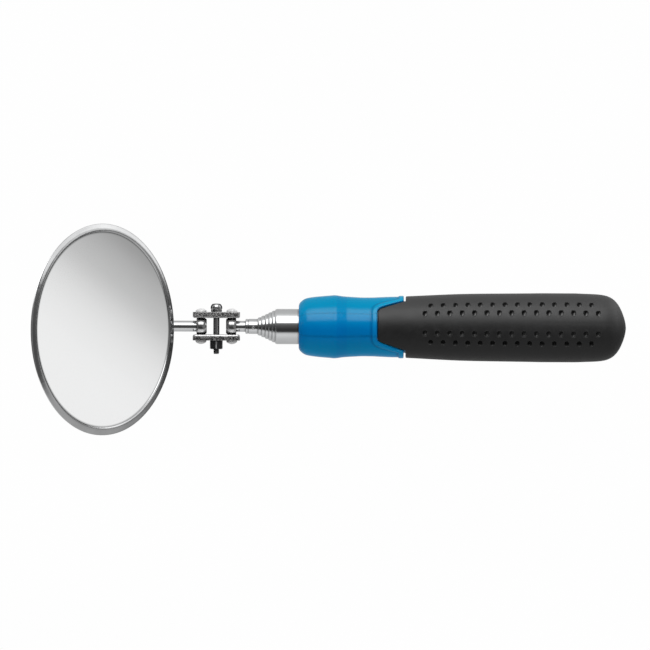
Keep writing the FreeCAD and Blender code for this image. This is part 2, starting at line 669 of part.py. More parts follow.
def rivet_circles(body, name, diameter):
    """Sketch with a circle at each of the four rivets."""
    sketch = new_sketch(body, name, "XY_Plane")
    for y in (rivet_y, -rivet_y):
        for x in (rivet_x, -rivet_x):
            circle(sketch, diameter / 2, x, y + stem_y)
    return sketch


def build_stem():
    body = new_body("mirror_stem")
    start_x = mirror_ball_x + dims.stem_inset
    bend_x = (dims.mirror_centre_x + bend_r * sin_tilt + dims.stem_run * cos_tilt
              - dims.stem_standoff * sin_tilt)
    straight = bend_x - start_x
    bend_end_x = straight - bend_r * sin_tilt
    run = dims.stem_run + dims.stem_overrun
    path = new_sketch(body, "stem_path", "XY_Plane")
    loop(path, [(ZERO, ZERO), (straight, ZERO, bend_r, -1), (bend_end_x, bend_y),
                (bend_end_x - run * cos_tilt, bend_y - run * sin_tilt)], closed=False)
    section = new_sketch(body, "stem_section", "YZ_Plane")
    circle(section, dims.stem_od / 2)
    doc.recompute()
    bar = body.newObject("PartDesign::AdditivePipe", "stem_bar")
    bar.Profile = section
    bar.Spine = (path, ["Edge1", "Edge2", "Edge3"])
    body.Tip = bar
    place(body, x=start_x)


def build_pan():
    """Sheet pan, its rim rolled over the edge of the glass."""
    body = new_body("mirror_pan")
    wall, rim, lip = dims.pan_wall, dims.rim_od / 2, dims.rim_lip_id / 2
    turn(body, "pan", [
        (ZERO, ZERO),
        (dims.pan_floor_od / 2, ZERO, dims.flare_radius, -1),
        (rim, dims.bead_foot),
        (rim, dims.bead_shoulder, dims.bead_outer_arc, -1),
        (dims.bead_crown_r, dims.pan_depth, dims.bead_inner_arc, -1),
        (lip, dims.lip_drop),
        (lip + dims.lip_width, dims.lip_drop - dims.lip_slope),
        (lip + dims.lip_root, glass_top),
        (rim - dims.bead_wall_top, glass_top),
        (rim - dims.bead_wall_foot, dims.bead_foot),
        (dims.glass_od / 2 + dims.disc_clear, pad_top),
        (dims.pad_od / 2 + dims.disc_clear, wall),
        (ZERO, wall)], made="_spun", axis="Z")
    sketch = rivet_circles(body, "rivet_holes", dims.rivet_shank_d)
    extrude(body, sketch, "rivet_hole_cut", dims.pan_drill, kind="Pocket", both_ways=True)
    place_on_pan(body)


def build_backing_pad():
    body = new_body("glass_backing_pad")
    radius, bottom = dims.pad_od / 2, dims.pan_wall
    turn(body, "pad", [(ZERO, bottom), (radius, bottom), (radius, pad_top), (ZERO, pad_top)],
         made="_disc", axis="Z")
    place_on_pan(body)


def build_glass():
    body = new_body("mirror_glass")
    radius, chamfer = dims.glass_od / 2, dims.glass_chamfer
    turn(body, "glass", [(ZERO, pad_top), (radius - chamfer, pad_top),
                         (radius, pad_top + chamfer), (radius, glass_top - chamfer),
                         (radius - chamfer, glass_top), (ZERO, glass_top)],
         made="_disc", axis="Z")
    place_on_pan(body)


def build_bracket():
    """Bracket on the pan's back face: two feet and a ridge round the stem."""
    body = new_body("stem_bracket")
    width, ridge = dims.bracket_foot_width / 2, dims.bracket_ridge_r
    foot, axis_z = -dims.bracket_foot_thick, -dims.stem_standoff
    sketch = new_sketch(body, "bracket_section", "YZ_Plane")
    loop(sketch, [(stem_y - width, ZERO), (stem_y - width, foot), (stem_y - ridge, foot),
                  (stem_y - ridge, axis_z, ridge, -1), (stem_y, axis_z - ridge, ridge, -1),
                  (stem_y + ridge, axis_z), (stem_y + ridge, foot), (stem_y + width, foot),
                  (stem_y + width, ZERO)])
    circle(sketch, dims.stem_od / 2, stem_y, axis_z)
    extrude(body, sketch, "bracket_bar", dims.bracket_length, both_ways=True)
    sketch = rivet_circles(body, "bracket_rivet_holes", dims.rivet_shank_d)
    extrude(body, sketch, "bracket_hole_cut", dims.bracket_drill, kind="Pocket",
            both_ways=True)
    place_on_pan(body)


def build_rivets():
    """Four rivets: shanks through pan and feet, heads on the feet."""
    body = new_body("bracket_rivets")
    sketch = rivet_circles(body, "rivet_shanks", dims.rivet_shank_d)
    shift(sketch, "z", dims.pan_wall)
    extrude(body, sketch, "rivet_shank_bars", dims.pan_wall + dims.bracket_foot_thick,
            reverse=True)
    sketch = rivet_circles(body, "rivet_heads", dims.rivet_head_d)
    shift(sketch, "z", -dims.bracket_foot_thick)
    extrude(body, sketch, "rivet_head_discs", dims.rivet_head_thick, reverse=True)
    place_on_pan(body)


# ---------------------------------------------------------------- build
for i in range(1, LAST + 1):
    tube = build_tube(i)
crimp(tube)
for i in range(2, LAST + 1):
    build_bush(i)
build_end_plug()
build_handle_core()
build_grip()
build_ferrule()
build_ball_rod()
place(build_ball("rod_ball", ZERO), x=rod_ball_x)
place(build_ball("mirror_ball", dims.slide_clear), x=mirror_ball_x,
      rotation=Rotation(Vector(0, 0, 1), 180))
place(build_clamp_plate("clamp_plate_upper"), x=dims.clamp_centre_x, z=dims.clamp_gap / 2)
place(build_clamp_plate("clamp_plate_lower"), x=dims.clamp_centre_x,
      z=-(dims.clamp_gap / 2), rotation=UPSIDE_DOWN)
build_lock_washer()
build_screw()
build_nut()
build_stem()
build_pan()
build_backing_pad()
build_glass()
build_bracket()
build_rivets()

# ---------------------------------------------------------------- check and write
doc.recompute()
for item in doc.Objects:
    faults = [state for state in item.State if state in ("Invalid", "Error")]
    if faults:
        raise RuntimeError("%s: %s" % (item.Label, faults))
for body in bodies:
    if body.Shape.isNull() or not body.Shape.isValid() or not body.Shape.Solids:
        raise RuntimeError("%s has no valid solid" % body.Label)
os.makedirs("parts", exist_ok=True)
for body in bodies:
    body.Shape.exportStep("parts/%s.step" % body.Label)
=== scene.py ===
"""Telescopic inspection mirror, lying along X.

The black and blue handle is at +X, the telescoping tubes run towards -X, and a clamped double ball
joint there carries the round mirror. The front, seen by the camera, is -Y, and up is +Z.
Pieces are worked out in millimetres and stored in metres. Shaders work in metres.
"""

import json
import math

import bmesh
import bpy
import numpy as np
from mathutils import Matrix, Vector


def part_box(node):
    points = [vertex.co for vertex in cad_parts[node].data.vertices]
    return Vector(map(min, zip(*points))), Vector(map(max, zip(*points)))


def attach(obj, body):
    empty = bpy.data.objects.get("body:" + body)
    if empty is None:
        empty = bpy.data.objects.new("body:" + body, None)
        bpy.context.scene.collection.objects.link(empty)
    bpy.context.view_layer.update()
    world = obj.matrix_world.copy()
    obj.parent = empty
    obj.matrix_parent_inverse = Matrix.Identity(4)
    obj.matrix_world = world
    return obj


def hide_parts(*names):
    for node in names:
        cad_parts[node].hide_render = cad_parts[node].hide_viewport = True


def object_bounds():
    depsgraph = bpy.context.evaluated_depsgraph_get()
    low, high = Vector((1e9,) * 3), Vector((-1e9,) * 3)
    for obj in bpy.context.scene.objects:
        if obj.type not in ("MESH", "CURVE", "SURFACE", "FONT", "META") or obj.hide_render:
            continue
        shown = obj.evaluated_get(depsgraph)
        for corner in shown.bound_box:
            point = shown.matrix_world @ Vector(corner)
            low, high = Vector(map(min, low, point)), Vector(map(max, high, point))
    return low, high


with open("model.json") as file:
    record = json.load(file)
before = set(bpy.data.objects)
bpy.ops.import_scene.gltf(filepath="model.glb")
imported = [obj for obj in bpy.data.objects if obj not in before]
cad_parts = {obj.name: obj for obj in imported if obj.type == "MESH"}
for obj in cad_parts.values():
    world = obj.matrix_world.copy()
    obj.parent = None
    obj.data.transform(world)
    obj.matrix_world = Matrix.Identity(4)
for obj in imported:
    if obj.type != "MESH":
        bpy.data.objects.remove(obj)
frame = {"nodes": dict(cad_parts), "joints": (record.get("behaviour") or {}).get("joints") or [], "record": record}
CAD_BOX = [list(v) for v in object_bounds()]
NODES = frame["nodes"]
JOINTS = {j["name"]: j for j in frame["joints"]}
BODY_OF = {n: b for b, ns in frame["record"]["behaviour"]["bodies"].items() for n in ns}
MM = 0.001


def box(node):
    """Lowest and highest corner of a CAD node, in millimetres."""
    low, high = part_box(node)
    return np.array(low) * 1000.0, np.array(high) * 1000.0


def radius_of(node):
    low, high = box(node)
    return (high[2] - low[2]) / 2


def joint_x(name):
    return JOINTS[name]["pos_m"][0] * 1000


# ------------------------------------------------------------------ main dimensions, mm
COLLAR_X = box("handle_core")[0][0]     # mirror end of the blue collar
TONGUE_X = box("grip")[0][0]            # tip of the grip's tongues
NOTCH_X = TONGUE_X - 0.3                # bottom of the collar's notches
SHOULDER_X = TONGUE_X + 10.9            # where the grip's full round begins
ARM_X = SHOULDER_X - 0.75               # tips of the collar's arms
CLOCK = math.radians(4.0)               # the handle is turned by this, notch raised
ARC = 12.0                              # mm of notch outline per radian
TUBE_R = radius_of("tube_1")
SLEEVE_R = 10.2
SLEEVE_X = (-82.0, 20.0)                # ends of the hidden sleeve
BORE_X = 20.02                          # blind end of the grip's bore
ROD_R = radius_of("ball_rod")
CLAMP_X = joint_x("clamp_screw_turn")
LOWER_PLATE_IN = box("clamp_plate_lower")[1][2]    # height of its inner face


# ------------------------------------------------------------------ mesh tools
def wrap(angle):
    return (angle + math.pi) % (2 * math.pi) - math.pi


def fillet(points, closed=True, segments=7):
    """Outline from (a, b) or (a, b, radius) points. A corner with a radius is rounded, and a
    support point on each side of it keeps the flats flat in smooth shading."""
    corners = [np.array(p[:2], float) for p in points]
    radii = [p[2] if len(p) > 2 else 0.0 for p in points]
    count = len(points)
    outline = []
    for i, corner in enumerate(corners):
        if radii[i] <= 0 or (not closed and i in (0, count - 1)):
            outline.append(corner)
            continue
        back, ahead = corners[i - 1] - corner, corners[(i + 1) % count] - corner
        back_length, ahead_length = np.hypot(*back), np.hypot(*ahead)
        back, ahead = back / back_length, ahead / ahead_length
        angle = math.acos(max(-1.0, min(1.0, float(back @ ahead))))
        trim = min(radii[i] / math.tan(angle / 2), 0.49 * back_length, 0.49 * ahead_length)
        radius = trim * math.tan(angle / 2)
        middle = back + ahead
        centre = corner + middle / np.hypot(*middle) * (radius / math.sin(angle / 2))
        start, end = corner + back * trim, corner + ahead * trim
        first = math.atan2(*(start - centre)[::-1])
        turn = wrap(math.atan2(*(end - centre)[::-1]) - first)
        outline.append(start + back * min(0.35 * radius, 0.3 * (back_length - trim)))
        for k in range(segments + 1):
            a = first + turn * k / segments
            outline.append(centre + radius * np.array([math.cos(a), math.sin(a)]))
        outline.append(end + ahead * min(0.35 * radius, 0.3 * (ahead_length - trim)))
    return np.array(outline)


def pchip(stations, values, x):
    """Smooth curve through the stations that doesn't overshoot them."""
    stations, values = np.asarray(stations, float), np.asarray(values, float)
    step = np.diff(stations)
    slope = np.diff(values) / step
    tangent = np.zeros_like(stations)
    for i in range(1, len(stations) - 1):
        if slope[i - 1] * slope[i] > 0:
            w1, w2 = 2 * step[i] + step[i - 1], step[i] + 2 * step[i - 1]
            tangent[i] = (w1 + w2) / (w1 / slope[i - 1] + w2 / slope[i])
    tangent[0], tangent[-1] = slope[0], slope[-1]
    x = np.asarray(x, float)
    k = np.clip(np.searchsorted(stations, x) - 1, 0, len(stations) - 2)
    t = (x - stations[k]) / step[k]
    t2, t3 = t * t, t * t * t
    return ((2 * t3 - 3 * t2 + 1) * values[k] + (t3 - 2 * t2 + t) * step[k] * tangent[k]
            + (-2 * t3 + 3 * t2) * values[k + 1] + (t3 - t2) * step[k] * tangent[k + 1])


def path_length(a, b):
    return np.concatenate([[0], np.cumsum(np.hypot(np.diff(a), np.diff(b)))])


def smoothstep(start, end, x):
    t = np.clip((np.asarray(x, float) - start) / (end - start), 0, 1)
    return t * t * (3 - 2 * t)


def round_over(distance, radius):
    """How far a rounded edge has dropped at a distance in from the edge."""
    t = np.clip(radius - distance, 0, radius)
    return radius - np.sqrt(np.maximum(radius * radius - t * t, 0))


def lathe(profile, around=128, closed=False, start=0.0, sweep=360.0, radius=None):
    """Turned surface about X from (x, r) points. Angles run from the front upwards.
    radius(x, r, angles) may reshape each ring. A part sweep is capped at both ends."""
    full = sweep == 360.0
    columns = around if full else around + 1
    angles = np.radians(start + sweep * np.arange(columns) / around)
    verts, rings, faces = [], [], []
    for x, r in profile:
        if r < 1e-7:
            rings.append([len(verts)])
            verts.append([x, 0.0, 0.0])
            continue
        reach = np.full(columns, r) if radius is None else radius(x, r, angles)
        rings.append(list(range(len(verts), len(verts) + columns)))
        verts.extend(np.stack([np.full(columns, x), -reach * np.cos(angles),
                               reach * np.sin(angles)], 1).tolist())
    pairs = list(zip(rings[:-1], rings[1:]))
    if closed:
        pairs.append((rings[-1], rings[0]))
    for this, other in pairs:
        for j in range(around):
            k = (j + 1) % columns
            if len(this) == 1:
                faces.append((this[0], other[k], other[j]))
            elif len(other) == 1:
                faces.append((this[j], this[k], other[0]))
            else:
                faces.append((this[j], this[k], other[k], other[j]))
    if not full:
        for j in (0, columns - 1):
            faces.append(tuple(ring[j] for ring in rings))
    return np.array(verts), faces


def joined_rings(count, around, closed=False):
    """Quads between rings of vertices numbered in order."""
    faces = []
    for i in range(count if closed else count - 1):
        j = (i + 1) % count
        for k in range(around):
            q = (k + 1) % around
            faces.append((i * around + k, i * around + q, j * around + q, j * around + k))
    return faces


def end_caps(count, around):
    return [tuple(range(around))[::-1], tuple((count - 1) * around + j for j in range(around))]


X_TO_Z = np.array(Vector((1, 0, 0)).rotation_difference(Vector((0, 0, 1))).to_matrix())


def upright(verts, origin=(0, 0, 0)):
    """Turns lathe work from the X axis to the Z axis, then moves it to the origin."""
    return np.asarray(verts) @ X_TO_Z.T + np.asarray(origin, float)


def register(piece, node):
    """The piece rides on its node's body and stands for the node."""
    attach(piece, BODY_OF[node])
    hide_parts(node)


def make(name, parts, material, node, sharp=38.0):
    """One object from (vertices in mm, faces) parts, with edges over `sharp` degrees kept sharp."""
    verts, faces, offset = [], [], 0
    for part_verts, part_faces in parts:
        verts.append(np.asarray(part_verts, float))
        faces.extend(tuple(i + offset for i in f) for f in part_faces)
        offset += len(part_verts)
    mesh = bpy.data.meshes.new(name)
    mesh.from_pydata((np.concatenate(verts) * MM).tolist(), [], faces)
    bm = bmesh.new()
    bm.from_mesh(mesh)
    bmesh.ops.recalc_face_normals(bm, faces=bm.faces)
    bm.to_mesh(mesh)
    bm.free()
    mesh.shade_smooth()
    mesh.set_sharp_from_angle(angle=math.radians(sharp))
    piece = bpy.data.objects.new(name, mesh)
    bpy.context.scene.collection.objects.link(piece)
    mesh.materials.append(material)
    register(piece, node)
    return piece


def paint(piece, name, values, rest=0.0):
    """Point attribute from the values of the first vertices. The others get `rest`."""
    full = np.full(len(piece.data.vertices), rest)
    full[:len(values)] = values
    piece.data.attributes.new(name, "FLOAT", "POINT").data.foreach_set("value", full)


# ------------------------------------------------------------------ shader tools
class Shade:
    """Writes the nodes of a material or world. Methods give back output sockets."""

    def __init__(self, owner, output="ShaderNodeOutputMaterial", coordinate="Object"):
        owner.use_nodes = True
        self.owner = owner
        self.tree = owner.node_tree
        self.tree.nodes.clear()
        self.out = self.node(output)
        self.co = self.node("ShaderNodeTexCoord").outputs[coordinate]

    def node(self, kind, props=None, **inputs):
        node = self.tree.nodes.new(kind)
        for key, value in (props or {}).items():
            setattr(node, key, value)
        for key, value in inputs.items():
            self.put(node, key.replace("_", " "), value)
        return node

    def put(self, node, key, value):
        socket = node.inputs[key]
        if isinstance(value, bpy.types.NodeSocket):
            self.tree.links.new(value, socket)
        else:
            socket.default_value = (*value, 1.0) if socket.type == "RGBA" else value

    def output(self, shader):
        self.put(self.out, "Surface", shader)
        return self.owner

    def surface(self, **inputs):
        """Principled surface. Inputs given as None keep their defaults."""
        inputs = {key: value for key, value in inputs.items() if value is not None}
        return self.output(self.node("ShaderNodeBsdfPrincipled", **inputs).outputs[0])

    def mix_shader(self, factor, first, second):
        node = self.node("ShaderNodeMixShader")
        for key, value in enumerate((factor, first, second)):
            self.put(node, key, value)
        return node.outputs[0]

    def math(self, op, a, b=0.0, c=None, clamp=False):
        node = self.node("ShaderNodeMath", {"operation": op, "use_clamp": clamp})
        self.put(node, 0, a)
        self.put(node, 1, b)
        if c is not None:
            self.put(node, 2, c)
        return node.outputs[0]

    def times(self, a, b):
        return self.math("MULTIPLY", a, b)

    def plus(self, a, b):
        return self.math("ADD", a, b)

    def scaled(self, value, by, plus):
        return self.math("MULTIPLY_ADD", value, by, plus)

    def inverse(self, value):
        return self.scaled(value, by=-1.0, plus=1.0)

    def vector(self, op, a, b, out="Vector"):
        node = self.node("ShaderNodeVectorMath", {"operation": op})
        self.put(node, 0, a)
        self.put(node, 1, b)
        return node.outputs[out]

    def map(self, value, over, to=(0.0, 1.0), kind="LINEAR"):
        """Takes the range `over` to the range `to`, and holds the ends beyond it."""
        node = self.node("ShaderNodeMapRange", {"interpolation_type": kind})
        for key, item in enumerate((value, *over, *to)):
            self.put(node, key, item)
        return node.outputs[0]

    def smooth(self, value, over, to=(0.0, 1.0)):
        return self.map(value, over, to, "SMOOTHSTEP")

    def band(self, value, rise, fall):
        """One between the two ranges, zero outside them."""
        return self.times(self.smooth(value, over=rise), self.smooth(value, over=fall, to=(1, 0)))

    def noise(self, scale, detail=3.0, rough=0.5, distortion=0.0, stretch=None):
        co = self.co
        if stretch:
            co = self.node("ShaderNodeMapping", Vector=co, Scale=stretch).outputs[0]
        return self.node("ShaderNodeTexNoise", Vector=co, Scale=scale, Detail=detail,
                         Roughness=rough, Distortion=distortion).outputs[0]

    def ramp(self, factor, stops, mode="LINEAR"):
        """Colour ramp from (position, colour) stops."""
        node = self.node("ShaderNodeValToRGB", Fac=factor)
        node.color_ramp.interpolation = mode
        elements = node.color_ramp.elements
        while len(elements) > 1:
            elements.remove(elements[-1])
        for i, (position, colour) in enumerate(stops):
            element = elements.new(position) if i else elements[0]
            element.position = position
            element.color = (*colour, 1)
        return node.outputs[0]

    def mix(self, factor, a, b, mode="MIX"):
        node = self.node("ShaderNodeMix", {"data_type": "RGBA", "blend_type": mode})
        for key, value in ((0, factor), (6, a), (7, b)):
            self.put(node, key, value)
        return node.outputs[2]

    def tint(self, colour, mask, amount, to):
        """Moves the colour towards `to` by the mask's share of the amount."""
        return self.mix(self.times(mask, amount), colour, to)

    def bump(self, height, depth, normal=None, strength=1.0):
        node = self.node("ShaderNodeBump", Height=height, Distance=depth, Strength=strength)
        if normal is not None:
            self.put(node, "Normal", normal)
        return node.outputs[0]

    def attribute(self, name):
        return self.node("ShaderNodeAttribute", {"attribute_name": name}).outputs["Fac"]

    def edge(self, over=(0.52, 0.62)):
        """Share of convex edge, from the mesh's pointiness."""
        return self.map(self.node("ShaderNodeNewGeometry").outputs["Pointiness"], over)

    def crevice(self, distance, over=(0.35, 0.95)):
        node = self.node("ShaderNodeAmbientOcclusion", {"samples": 6}, Distance=distance)
        return self.map(node.outputs["AO"], over, to=(1, 0))

    def xyz(self, vector):
        return self.node("ShaderNodeSeparateXYZ", Vector=vector).outputs

    def height_angle(self, y, z):
        """Angle of a direction: 0 towards the front, rising upwards, in radians."""
        return self.math("ARCTAN2", z, self.times(y, -1.0))

    def facing_up(self):
        return self.xyz(self.node("ShaderNodeNewGeometry").outputs["Normal"])[2]


def new_material(name):
    return Shade(bpy.data.materials.new(name))


# ------------------------------------------------------------------ metals
def plated(name, tint, rough, spread=0.05, cloud=0.06, grain=0.0, orange=0.0, scratch=0.0,
           crevice_shade=0.35, along=(1, 1, 1), outline=0.0, lean=(0.34, 0.70)):
    """Plated or polished metal: slow tint clouds, uneven polish, fine scratches, painted shade in crevices.
    spread: range of the roughness; cloud: strength of the tint clouds; grain, orange, scratch:
    bump depths of fine grain, orange peel and scratches; along: stretch of the scratches;
    crevice_shade: strength of the painted shade in crevices; outline: painted shade, darkening grazing faces
    as dark surroundings would in their reflection, which grows over the `lean` range of facing."""
    s = new_material(name)
    slow = s.noise(scale=55.0, detail=4.0, rough=0.55)
    fine = s.noise(scale=900.0, rough=0.6)
    lines = s.noise(scale=260.0, detail=4.0, rough=0.65, stretch=along)

    def toned(factor):
        return tuple(min(1.0, c * factor) for c in tint)

    colour = s.mix(s.smooth(slow, over=(0.35, 0.68)), toned(1 - cloud), toned(1 + cloud * 0.5))
    colour = s.tint(colour, s.map(lines, over=(0.58, 0.72)), amount=0.12, to=toned(0.7))
    # painted shade: crevices darkened towards near black
    colour = s.tint(colour, s.crevice(distance=0.0009), amount=crevice_shade, to=(0.10, 0.098, 0.095))
    colour = s.tint(colour, s.edge(), amount=0.35, to=toned(1.2))
    polish = s.plus(s.map(slow, over=(0.3, 0.7), to=(rough, rough + spread)),
                    s.map(fine, over=(0.35, 0.7), to=(0.0, spread * 0.6)))
    polish = s.plus(polish, s.map(lines, over=(0.55, 0.75), to=(0.0, spread)))
    normal = edge_tint = None
    if orange > 0:
        normal = s.bump(s.noise(scale=420.0, detail=2.0), orange)
    if grain > 0:
        normal = s.bump(s.noise(scale=1500.0, detail=5.0, rough=0.62), grain, normal)
    if scratch > 0:
        normal = s.bump(lines, scratch, normal)
    # painted shade: grazing faces and their reflection darkened, in place of dark surroundings reflected there
    if outline > 0:
        grazing = s.node("ShaderNodeLayerWeight", Blend=0.5).outputs["Facing"]
        grazing = s.times(s.smooth(grazing, over=lean), outline)
        colour = s.mix(grazing, colour, (0.03, 0.03, 0.03))
        edge_tint = s.mix(grazing, (1.0, 1.0, 1.0), (0.04, 0.04, 0.04))
    return s.surface(Base_Color=colour, Roughness=polish, Metallic=1.0, Normal=normal,
                     Specular_Tint=edge_tint)


TUBE = plated("tube_chrome", tint=(0.80, 0.81, 0.82), rough=0.07, spread=0.04, orange=0.000004,
              scratch=0.000002, along=(0.12, 1, 1), crevice_shade=0.9)
ROD = plated("rod_chrome", tint=(0.80, 0.81, 0.82), rough=0.09, orange=0.000004,
             along=(0.15, 1, 1), crevice_shade=0.85)
BALL = plated("ball_nickel", tint=(0.74, 0.74, 0.745), rough=0.12, spread=0.06, orange=0.000005,
              crevice_shade=0.9, outline=0.9, lean=(0.24, 0.60))
PAN = plated("pan_chrome", tint=(0.78, 0.785, 0.79), rough=0.07, cloud=0.10, orange=0.00002,
             crevice_shade=0.85, outline=0.5)
PRESSED = plated("pressed_steel", tint=(0.62, 0.62, 0.61), rough=0.24, spread=0.10, cloud=0.12,
                 orange=0.00002, grain=0.000008)
RIVET = plated("rivet_steel", tint=(0.68, 0.68, 0.67), rough=0.20, spread=0.10, orange=0.00001)
SCREW = plated("screw_steel", tint=(0.66, 0.66, 0.665), rough=0.11, spread=0.07, cloud=0.08,
               crevice_shade=0.8, outline=0.92, lean=(0.14, 0.50))
BRASS = plated("bush_brass", tint=(0.78, 0.58, 0.26), rough=0.25, spread=0.10, scratch=0.00001,
               along=(0.1, 1, 1))


def dark_nut():
    """Blackened nut: dark flats with a faint cloud, its corners pale, partly worn to bare steel and partly a
    painted highlight.
    """
    s = new_material("nut_steel")
    slow = s.noise(scale=260.0, detail=4.0, rough=0.6)
    fine = s.noise(scale=2200.0, rough=0.6)
    colour = s.mix(s.smooth(slow, over=(0.35, 0.65)), (0.055, 0.055, 0.057), (0.12, 0.12, 0.122))
    # painted highlight: the corners are painted pale and less metallic, with some wear to bare steel
    corner_wear_and_highlight = s.times(s.attribute("corner_wear_and_highlight"), s.map(fine, over=(0.3, 0.6), to=(0.55, 1.0)))
    colour = s.mix(corner_wear_and_highlight, colour, (0.78, 0.78, 0.78))
    # painted shade: crevices darkened
    colour = s.tint(colour, s.crevice(distance=0.0006), amount=0.6, to=(0.02, 0.02, 0.02))
    rough = s.plus(s.map(slow, over=(0.3, 0.7), to=(0.24, 0.36)),
                   s.map(fine, over=(0.4, 0.7), to=(0.0, 0.06)))
    return s.surface(Base_Color=colour, Roughness=rough, Normal=s.bump(fine, depth=0.000008),
                     Metallic=s.scaled(corner_wear_and_highlight, by=-0.8, plus=1.0))


def plate_metal():
    """Tumbled nickel plate over a coarse pressed surface."""
    s = new_material("plate_nickel")
    inner_z = LOWER_PLATE_IN * MM
    coarse = s.noise(scale=1900.0, rough=0.6, distortion=0.6)
    pits = s.noise(scale=3100.0, rough=0.6)
    slow = s.noise(scale=240.0)
    colour = s.mix(s.smooth(coarse, over=(0.42, 0.58)), (0.075, 0.074, 0.073), (0.74, 0.735, 0.73))
    colour = s.tint(colour, s.map(slow, over=(0.4, 0.65)), amount=0.3, to=(0.42, 0.415, 0.41))
    # painted shade: crevices darkened
    colour = s.tint(colour, s.crevice(distance=0.001), amount=0.7, to=(0.04, 0.04, 0.04))
    colour = s.tint(colour, s.edge(over=(0.51, 0.58)), amount=0.45, to=(0.85, 0.85, 0.85))
    # the pressed-out domes are rubbed bright by the tumbling
    z = s.xyz(s.co)[2]
    dome = s.smooth(s.math("ABSOLUTE", z), over=(0.00562, 0.00585))
    colour = s.tint(colour, dome, amount=0.92, to=(0.90, 0.90, 0.90))
    rough = s.plus(s.map(coarse, over=(0.35, 0.65), to=(0.20, 0.40)),
                   s.map(pits, over=(0.4, 0.6), to=(0.0, 0.10)))
    # the lower plate's inner edge is left smooth and carries a painted highlight as a bright band, with painted
    # shade below it
    inner = s.times(s.smooth(z, over=(inner_z - 0.00105, inner_z - 0.00075)),
                    s.map(z, over=(inner_z + 0.0002, inner_z + 0.0004), to=(1, 0)))
    colour = s.tint(colour, inner, amount=0.85, to=(0.88, 0.88, 0.88))
    low = s.times(s.smooth(z, over=(inner_z - 0.0010, inner_z - 0.0013)),
                  s.map(z, over=(-0.00572, -0.0056)))
    colour = s.tint(colour, low, amount=0.35, to=(0.10, 0.10, 0.10))
    # painted light: the upper plate, apart from its domes, is lightened
    top = s.times(s.map(z, over=(0.0, 0.0010)), s.inverse(dome))
    colour = s.tint(colour, top, amount=0.22, to=(0.80, 0.80, 0.80))
    texture = s.scaled(s.math("MAXIMUM", dome, inner), by=-0.85, plus=1.0)
    normal = s.bump(coarse, depth=0.00008, strength=texture)
    normal = s.bump(pits, depth=0.00003, normal=normal, strength=texture)
    return s.surface(Base_Color=colour, Roughness=rough, Normal=normal,
                     Metallic=s.scaled(dome, by=-0.65, plus=1.0))


NUT = dark_nut()
PLATE = plate_metal()

# ------------------------------------------------------------------ handle plastics
# ends of a band of painted shade, also without gloss, just behind the collar's widest ring, in metres
SHADED_BAND = [(COLLAR_X + x) * MM for x in (14.9, 18.9)]
SHADED_BAND_FADE = 0.0004
# painted light and shade: tone of the blue against the upward share of the surface normal: (normal z, green, blue)
BLUE_PAINTED_LIGHT = [
    (-1.0, 1.28, 1.22), (-0.74, 1.24, 1.17), (-0.58, 1.07, 1.10), (-0.42, 0.93, 1.05),
    (-0.26, 0.78, 0.98), (-0.10, 0.70, 0.88), (0.065, 0.80, 0.91), (0.23, 0.93, 0.93),
    (0.39, 0.98, 0.92), (0.55, 0.95, 0.83), (0.77, 0.86, 0.72), (1.0, 0.86, 0.70)]
TONE_STORED = 0.77      # ramp colours are stored at this share, and scaled up after


